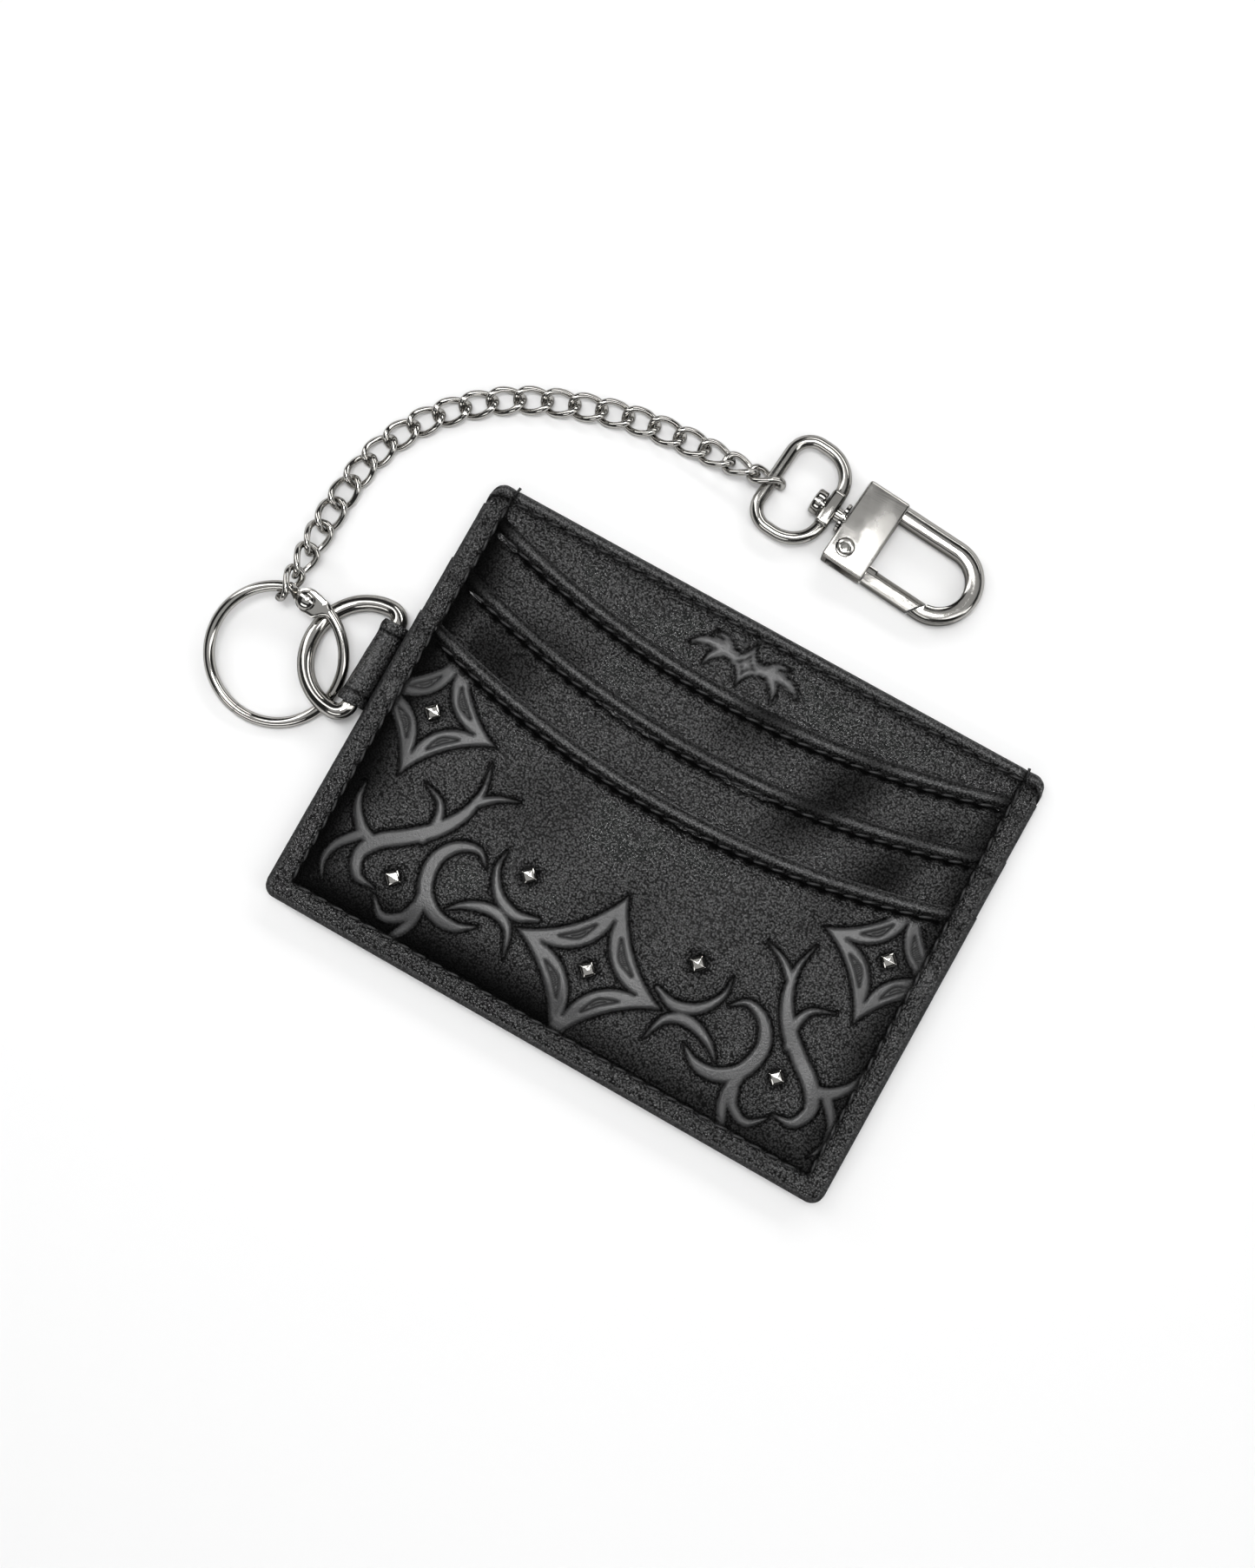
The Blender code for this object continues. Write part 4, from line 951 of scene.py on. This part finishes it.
stations = []
for step in range(15):
    angle = LUG_END + (LUG_FLAT - LUG_END) * step / 14
    before = (87.7 - angle) / 9.8
    wide = 1.85 * math.sqrt(max(0.03, 1 - before ** 2)) if before > 0 else 1.85 - 0.8 * (angle - 87.7) / 10.3
    stations.append(ring_station(angle, RING_RADIUS - 0.85, wide, 0.38, -0.46, 1.0))
for step in range(1, 9):
    ease = (step / 8) ** 2 * (3 - 2 * step / 8)
    angle = LUG_FLAT + (LUG_ROOT - LUG_FLAT) * step / 8
    stations.append(ring_station(
        angle, RING_RADIUS - 0.85 + 0.85 * ease, 1.05 - 0.15 * ease, 0.38 + 0.52 * ease,
        -0.46 + 0.46 * ease, 1 - ease,
    ))
for step in range(1, 101):
    angle = LUG_ROOT + (OPENING_END - LUG_ROOT) * step / 100
    stations.append(ring_station(angle, RING_RADIUS, RING_WIRE, RING_WIRE, 0.0))
bm = swept_section(stations)
finish_piece(bm, "ring_opening_wire", bright_nickel, "ring_gate", ("ring_opening_half",))


def lathe(profile, place):
    """A body turned about Z from a profile of (radius, height), then placed."""
    bm = bmesh.new()
    points = [bm.verts.new((radius, 0.0, height)) for radius, height in profile]
    edges = [bm.edges.new(pair) for pair in zip(points, points[1:])]
    bmesh.ops.spin(
        bm, geom=points + edges, axis=(0, 0, 1), cent=(0, 0, 0), angle=math.tau, steps=40, use_merge=True,
    )
    bmesh.ops.transform(bm, matrix=place, verts=bm.verts)
    return bm


profile = [(0.0, 2.05)]
for angle in range(8, 90, 8):
    profile.append((1.55 * math.sin(math.radians(angle)), 1.2 + 0.85 * math.cos(math.radians(angle))))
profile += [(1.6, 1.18), (0.6, 1.16), (0.6, -0.9), (1.2, -0.92), (1.25, -1.05), (1.05, -1.45), (0.0, -1.6)]
bm = lathe(profile, ring_place @ Matrix.Translation((*RIVET, 0.0)))
finish_piece(bm, "ring_rivet_dome", bright_nickel, "ring_body", ("ring_rivet",))


# ------------------------ curb chain
# Twenty-two links of 1.05 mm steel wire, each bent to an oval, twisted a quarter turn end to end,
# soldered shut and nickel plated.

LINK_COUNT = 22
LINK_HALF_LENGTH = 2.825
LINK_HALF_WIDTH = 1.875
LINK_WIRE = 0.525
LINK_TWIST = math.radians(45)
CHAIN_START = Vector((-70.4, 4.49, 5.4))
CHAIN_END = Vector((-10.106, 58.912, 2.649))
link_ends = [CHAIN_START]
for number in range(2, LINK_COUNT + 1):
    link_ends.append(Vector(joints["chain_%02d_turn" % number]["pos_m"]) * 1000)
link_ends.append(CHAIN_END)
# The links near each end lean over, until the last ones stand on edge in the ring and in the loop.
LINK_ROLLS = {1: 82.0, 2: 62.0, 3: 42.0, 4: 22.0, 5: 6.0, 19: -4.0, 20: -22.0, 21: -42.0, 22: -62.0}
for number in range(1, LINK_COUNT + 1):
    head = link_ends[number - 1]
    tail = link_ends[number]
    onward = (tail - head).normalized()
    across = Vector((0, 0, 1)).cross(onward).normalized()
    frame_axes = Matrix((onward, across, onward.cross(across))).transposed().to_4x4()
    lie = Matrix.Translation((head + tail) / 2) @ frame_axes
    lie = lie @ Matrix.Rotation(math.radians(LINK_ROLLS.get(number, 0.0)), 4, "X")
    points = []
    for step in range(56):
        angle = math.tau * (step + 0.5) / 56
        along = LINK_HALF_LENGTH * math.copysign(abs(math.cos(angle)) ** 0.8, math.cos(angle))
        width = LINK_HALF_WIDTH * math.copysign(abs(math.sin(angle)) ** 0.8, math.sin(angle))
        twist = -LINK_TWIST * along / LINK_HALF_LENGTH
        points.append(lie @ Vector((along, width * math.cos(twist), width * math.sin(twist))))
    name = "chain_link_%02d" % number
    bm = swept_wire(points, LINK_WIRE, closed=True, resolution=5)
    finish_piece(bm, "curb_" + name[6:], bright_nickel, "link_%02d" % number, (name,))


# ------------------------ swivel loop and stud
# Die-cast zinc loop, nickel plated, whose boss turns on a headed steel stud. The stud is riveted into the
# housing with a washer between.

spinning = joints["swivel_spin"]
hook_middle = Vector(spinning["pos_m"]) * 1000
hook_along = Vector(spinning["axis"])
hook_across = Vector((0, 0, 1)).cross(hook_along)
hook_axes = Matrix((hook_along, hook_across, Vector((0, 0, 1)))).transposed().to_4x4()
hook_place = Matrix.Translation(hook_middle) @ hook_axes

# One half of the loop's centre line: from the boss, round the shoulder, to the straight far end.
LOOP_WIRE = 1.05
LOOP_FAR_END = -13.3
half_loop = [(-2.9, 1.6), (-2.9, 2.4)]
for step in range(25):
    angle = math.radians(4 + 86 * step / 24)
    half_loop.append((-8.5 + 5.6 * math.cos(angle), 2.8 + 5.2 * math.sin(angle)))
half_loop += arc((-9.8, 4.5), 3.5, 90, 180, 14)
half_loop += [(LOOP_FAR_END, 3.0), (LOOP_FAR_END, 1.5)]
whole = half_loop + [(LOOP_FAR_END, 0.0)] + [(u, -v) for u, v in reversed(half_loop)]


def soft_block(bm, middle, size, softness, segments):
    """Add a block with rounded edges."""
    shape = Matrix.Translation(middle) @ Matrix.Diagonal((*size, 1))
    block = bmesh.ops.create_cube(bm, size=1.0, matrix=shape)
    round_edges(bm, list({edge for vert in block["verts"] for edge in vert.link_edges}), softness, segments)


bm = swept_wire([(u, v, 0.0) for u, v in whole], LOOP_WIRE, resolution=7)
soft_block(bm, (-2.95, 0, 0), (2.3, 6.2, 3.5), 0.6, 4)
bmesh.ops.transform(bm, matrix=hook_place, verts=bm.verts)
finish_piece(bm, "swivel_loop_casting", cast_nickel, "loop", ("swivel_loop",), sharp=45)

sideways = hook_place @ Matrix.Rotation(math.radians(-90), 4, "Y")
for name, node, profile in (
    ("swivel_stud_pin", "swivel_stud", (
        (0.0, 6.0), (1.6, 6.0), (1.95, 5.9), (2.1, 5.7), (2.1, 4.5), (1.95, 4.3), (1.1, 4.3), (1.1, -1.8),
        (0.0, -1.8),
    )),
    ("swivel_washer_disc", "swivel_washer", (
        (1.2, 0.2), (2.35, 0.2), (2.5, 0.3), (2.5, 0.7), (2.35, 0.8), (1.2, 0.8), (1.2, 0.2),
    )),
):
    finish_piece(lathe(profile, sideways), name, bright_nickel, "hook", (node,))


# ------------------------ hook
# Die-cast housing with ground flats, a bent bar set into one side of it, and on the other a sprung gate
# that turns on a flush rivet in a dimple.

# Ground nickel: plated over a belt-ground flat, so the shine is drawn out along the strokes.
brushed_nickel, tree, shader, place = nickel_plate(
    "ground_nickel_plate", "B9B7B3", 0.24, 180.0, 5.0, (0.38, 0.66), (0.13, 0.33),
)
turned_place = add_node(
    tree, "ShaderNodeMapping",
    {"Vector": place, "Rotation": (0.0, 0.0, math.radians(5)), "Scale": (120.0, 3200.0, 1500.0)},
)
strokes = add_node(tree, "ShaderNodeTexNoise", {"Vector": turned_place, "Scale": 1.0, "Detail": 3.0})
add_node(
    tree, "ShaderNodeBump", {"Height": strokes, "Strength": 0.25, "Distance": 0.00003},
    shader.inputs["Normal"],
)

# In the hook's frame: u runs along it from the swivel's washer, v across it, and the third is up.
PIVOT = (2.5, -4.2)
BAR_V = 5.7
BEND_U = 17.7
NOSE_V = -7.05
NOSE_U = 16.45
NOSE_GAP = 0.33
NOSE_SLANT = 0.7037


def cut_from(piece, bm, name):
    """Cut a placed millimetre bmesh out of a finished piece."""
    bmesh.ops.scale(bm, vec=(0.001, 0.001, 0.001), verts=bm.verts)
    bmesh.ops.recalc_face_normals(bm, faces=bm.faces)
    mesh = bpy.data.meshes.new(name)
    bm.to_mesh(mesh)
    bm.free()
    tool = set_out(name, mesh)
    cut = piece.modifiers.new(name, "BOOLEAN")
    cut.operation = "DIFFERENCE"
    cut.solver = "EXACT"
    cut.object = tool
    made = bpy.data.meshes.new_from_object(piece.evaluated_get(bpy.context.evaluated_depsgraph_get()))
    piece.modifiers.clear()
    piece.data = made
    made.shade_smooth()
    made.set_sharp_from_angle(angle=math.radians(30))
    bpy.data.objects.remove(tool)


def box_between(low, high):
    """A millimetre box in the hook's frame."""
    bm = bmesh.new()
    size = [b - a for a, b in zip(low, high)]
    centre = [(a + b) / 2 for a, b in zip(low, high)]
    shape = Matrix.Translation(centre) @ Matrix.Diagonal((*size, 1))
    bmesh.ops.create_cube(bm, size=1.0, matrix=hook_place @ shape)
    return bm


bm = box_between((0.0, -7.15, -2.5), (7.4, 7.15, 2.5))
round_edges(bm, bm.edges, 0.45, 4)
housing = finish_piece(
    bm, "hook_housing_casting", brushed_nickel, "hook", ("hook_housing",), sharp=30,
)
cut_from(housing, box_between((0.95, -8.5, -1.65), (8.5, -1.4, 1.65)), "gate_slot")
cut_from(housing, box_between((2.9, 4.22, -1.58), (8.5, 7.18, 1.58)), "bow_socket")
at_pivot = hook_place @ Matrix.Translation((*PIVOT, 0.0))
for name, profile in (
    ("dimple_top", [(0, 2.02), (1.0, 2.02), (1.35, 2.15), (1.62, 2.6), (1.62, 3.2), (0, 3.2)]),
    ("dimple_foot", [(0, -3.2), (1.62, -3.2), (1.62, -2.6), (1.35, -2.15), (0, -2.02)]),
):
    cut_from(housing, lathe(profile, at_pivot), name)
profile = [(0.0, 2.5), (0.5, 2.48), (0.62, 2.3), (0.85, 2.3), (0.98, 2.22), (0.98, 2.05)]
profile += [(0.7, 1.95), (0.7, -1.95), (0.98, -2.05), (0.9, -2.3), (0, -2.35)]
bm = lathe(profile, at_pivot)
finish_piece(bm, "gate_rivet_pin", bright_nickel, "hook", ("gate_rivet",))


def bar_section(bm, u, v, ground, drop):
    """Bar section standing across the hook, its far edges ground off by ground x drop mm, as a face."""
    corners = [(1.4, 1.5 - drop), (1.34, 1.62 - drop), (1.52 - ground, 1.44), (1.4 - ground, 1.5)]
    corners += [(-0.95, 1.5), (-1.3, 1.3), (-1.4, 0.95)]
    corners += [(a, -b) for a, b in reversed(corners)]
    return bm.faces.new([bm.verts.new((u, v + a, b)) for a, b in corners])


bm = bmesh.new()
grown = bmesh.ops.extrude_face_region(bm, geom=[bar_section(bm, 3.0, BAR_V, 0.75, 0.65)])
tip = only(BMVert, grown["geom"])
bmesh.ops.translate(bm, vec=(BEND_U - 3.0, 0.0, 0.0), verts=tip)
face = only(BMFace, grown["geom"])
turn = bmesh.ops.spin(bm, geom=face, axis=(0, 0, -1), cent=(BEND_U, 0, 0), angle=math.pi, steps=48)
face = only(BMFace, turn["geom_last"])
grown = bmesh.ops.extrude_face_region(bm, geom=face)
tip = only(BMVert, grown["geom"])
bmesh.ops.translate(bm, vec=(-3.0, 0.0, 0.0), verts=tip)
inside = [f for f in bm.faces if len(f.verts) == 14 and abs(f.calc_center_median().x - BEND_U) < 0.01]
bmesh.ops.delete(bm, geom=inside, context="FACES_ONLY")
bmesh.ops.transform(bm, matrix=hook_place, verts=bm.verts)
bow = finish_piece(bm, "hook_bow_bar", cast_nickel, "hook", ("hook_bow",), sharp=25)

# The bow's end is sawn off at a slant, and the gate's nose meets it with a narrow gap.
bm = bmesh.new()
corners = []
for v, shift in ((-8.5, 0.0), (-3.0, 0.0), (-3.0, -4.0), (-8.5, -4.0)):
    corners.append(bm.verts.new((NOSE_U + NOSE_SLANT * (v - NOSE_V) + shift, v, -3.0)))
grown = bmesh.ops.extrude_face_region(bm, geom=[bm.faces.new(corners)])
bmesh.ops.translate(bm, vec=(0, 0, 6.0), verts=only(BMVert, grown["geom"]))
bmesh.ops.transform(bm, matrix=hook_place, verts=bm.verts)
cut_from(bow, bm, "bow_nose")

bm = bmesh.new()
grown = bmesh.ops.extrude_face_region(bm, geom=[bar_section(bm, 7.55, -BAR_V, 1.15, 1.0)])
for vert in only(BMVert, grown["geom"]):
    vert.co.x = NOSE_U - NOSE_GAP + NOSE_SLANT * (vert.co.y - NOSE_V)
soft_block(bm, (6.2, -5.2, 0.6), (5.6, 2.1, 1.4), 0.25, 2)
hub = Matrix.Translation((*PIVOT, 0.7))
bmesh.ops.create_cone(bm, cap_ends=True, segments=32, radius1=1.45, radius2=1.45, depth=1.55, matrix=hub)
bmesh.ops.transform(bm, matrix=hook_place, verts=bm.verts)
finish_piece(bm, "hook_gate_bar", cast_nickel, "gate", ("hook_gate",), sharp=25)

# Spring steel: hard-drawn wire, oiled, grey. The coil sits round the rivet under the gate's hub.
spring_steel, tree, shader, place = start_material("drawn_spring_steel", "8A8A8C", 1.0, 0.32)
drawn = add_node(tree, "ShaderNodeTexNoise", {"Vector": place, "Scale": 1500.0, "Detail": 3.0})
add_node(
    tree, "ShaderNodeBump", {"Height": drawn, "Strength": 0.2, "Distance": 0.00003},
    shader.inputs["Normal"],
)
COIL_LOW, COIL_HIGH = -1.4, -0.35
points = [(PIVOT[0] + 1.0, PIVOT[1] - 2.0, COIL_LOW)]
for step, (u, v) in enumerate(arc(PIVOT, 1.12, 200, 1100, 90)):
    points.append((u, v, COIL_LOW + (COIL_HIGH - COIL_LOW) * step / 90))
points.append((PIVOT[0] - 0.9, PIVOT[1] + 2.2, COIL_HIGH))
bm = swept_wire(points, 0.16, resolution=2)
bmesh.ops.transform(bm, matrix=hook_place, verts=bm.verts)
finish_piece(bm, "gate_spring_coil", spring_steel, "hook", ("gate_spring",))
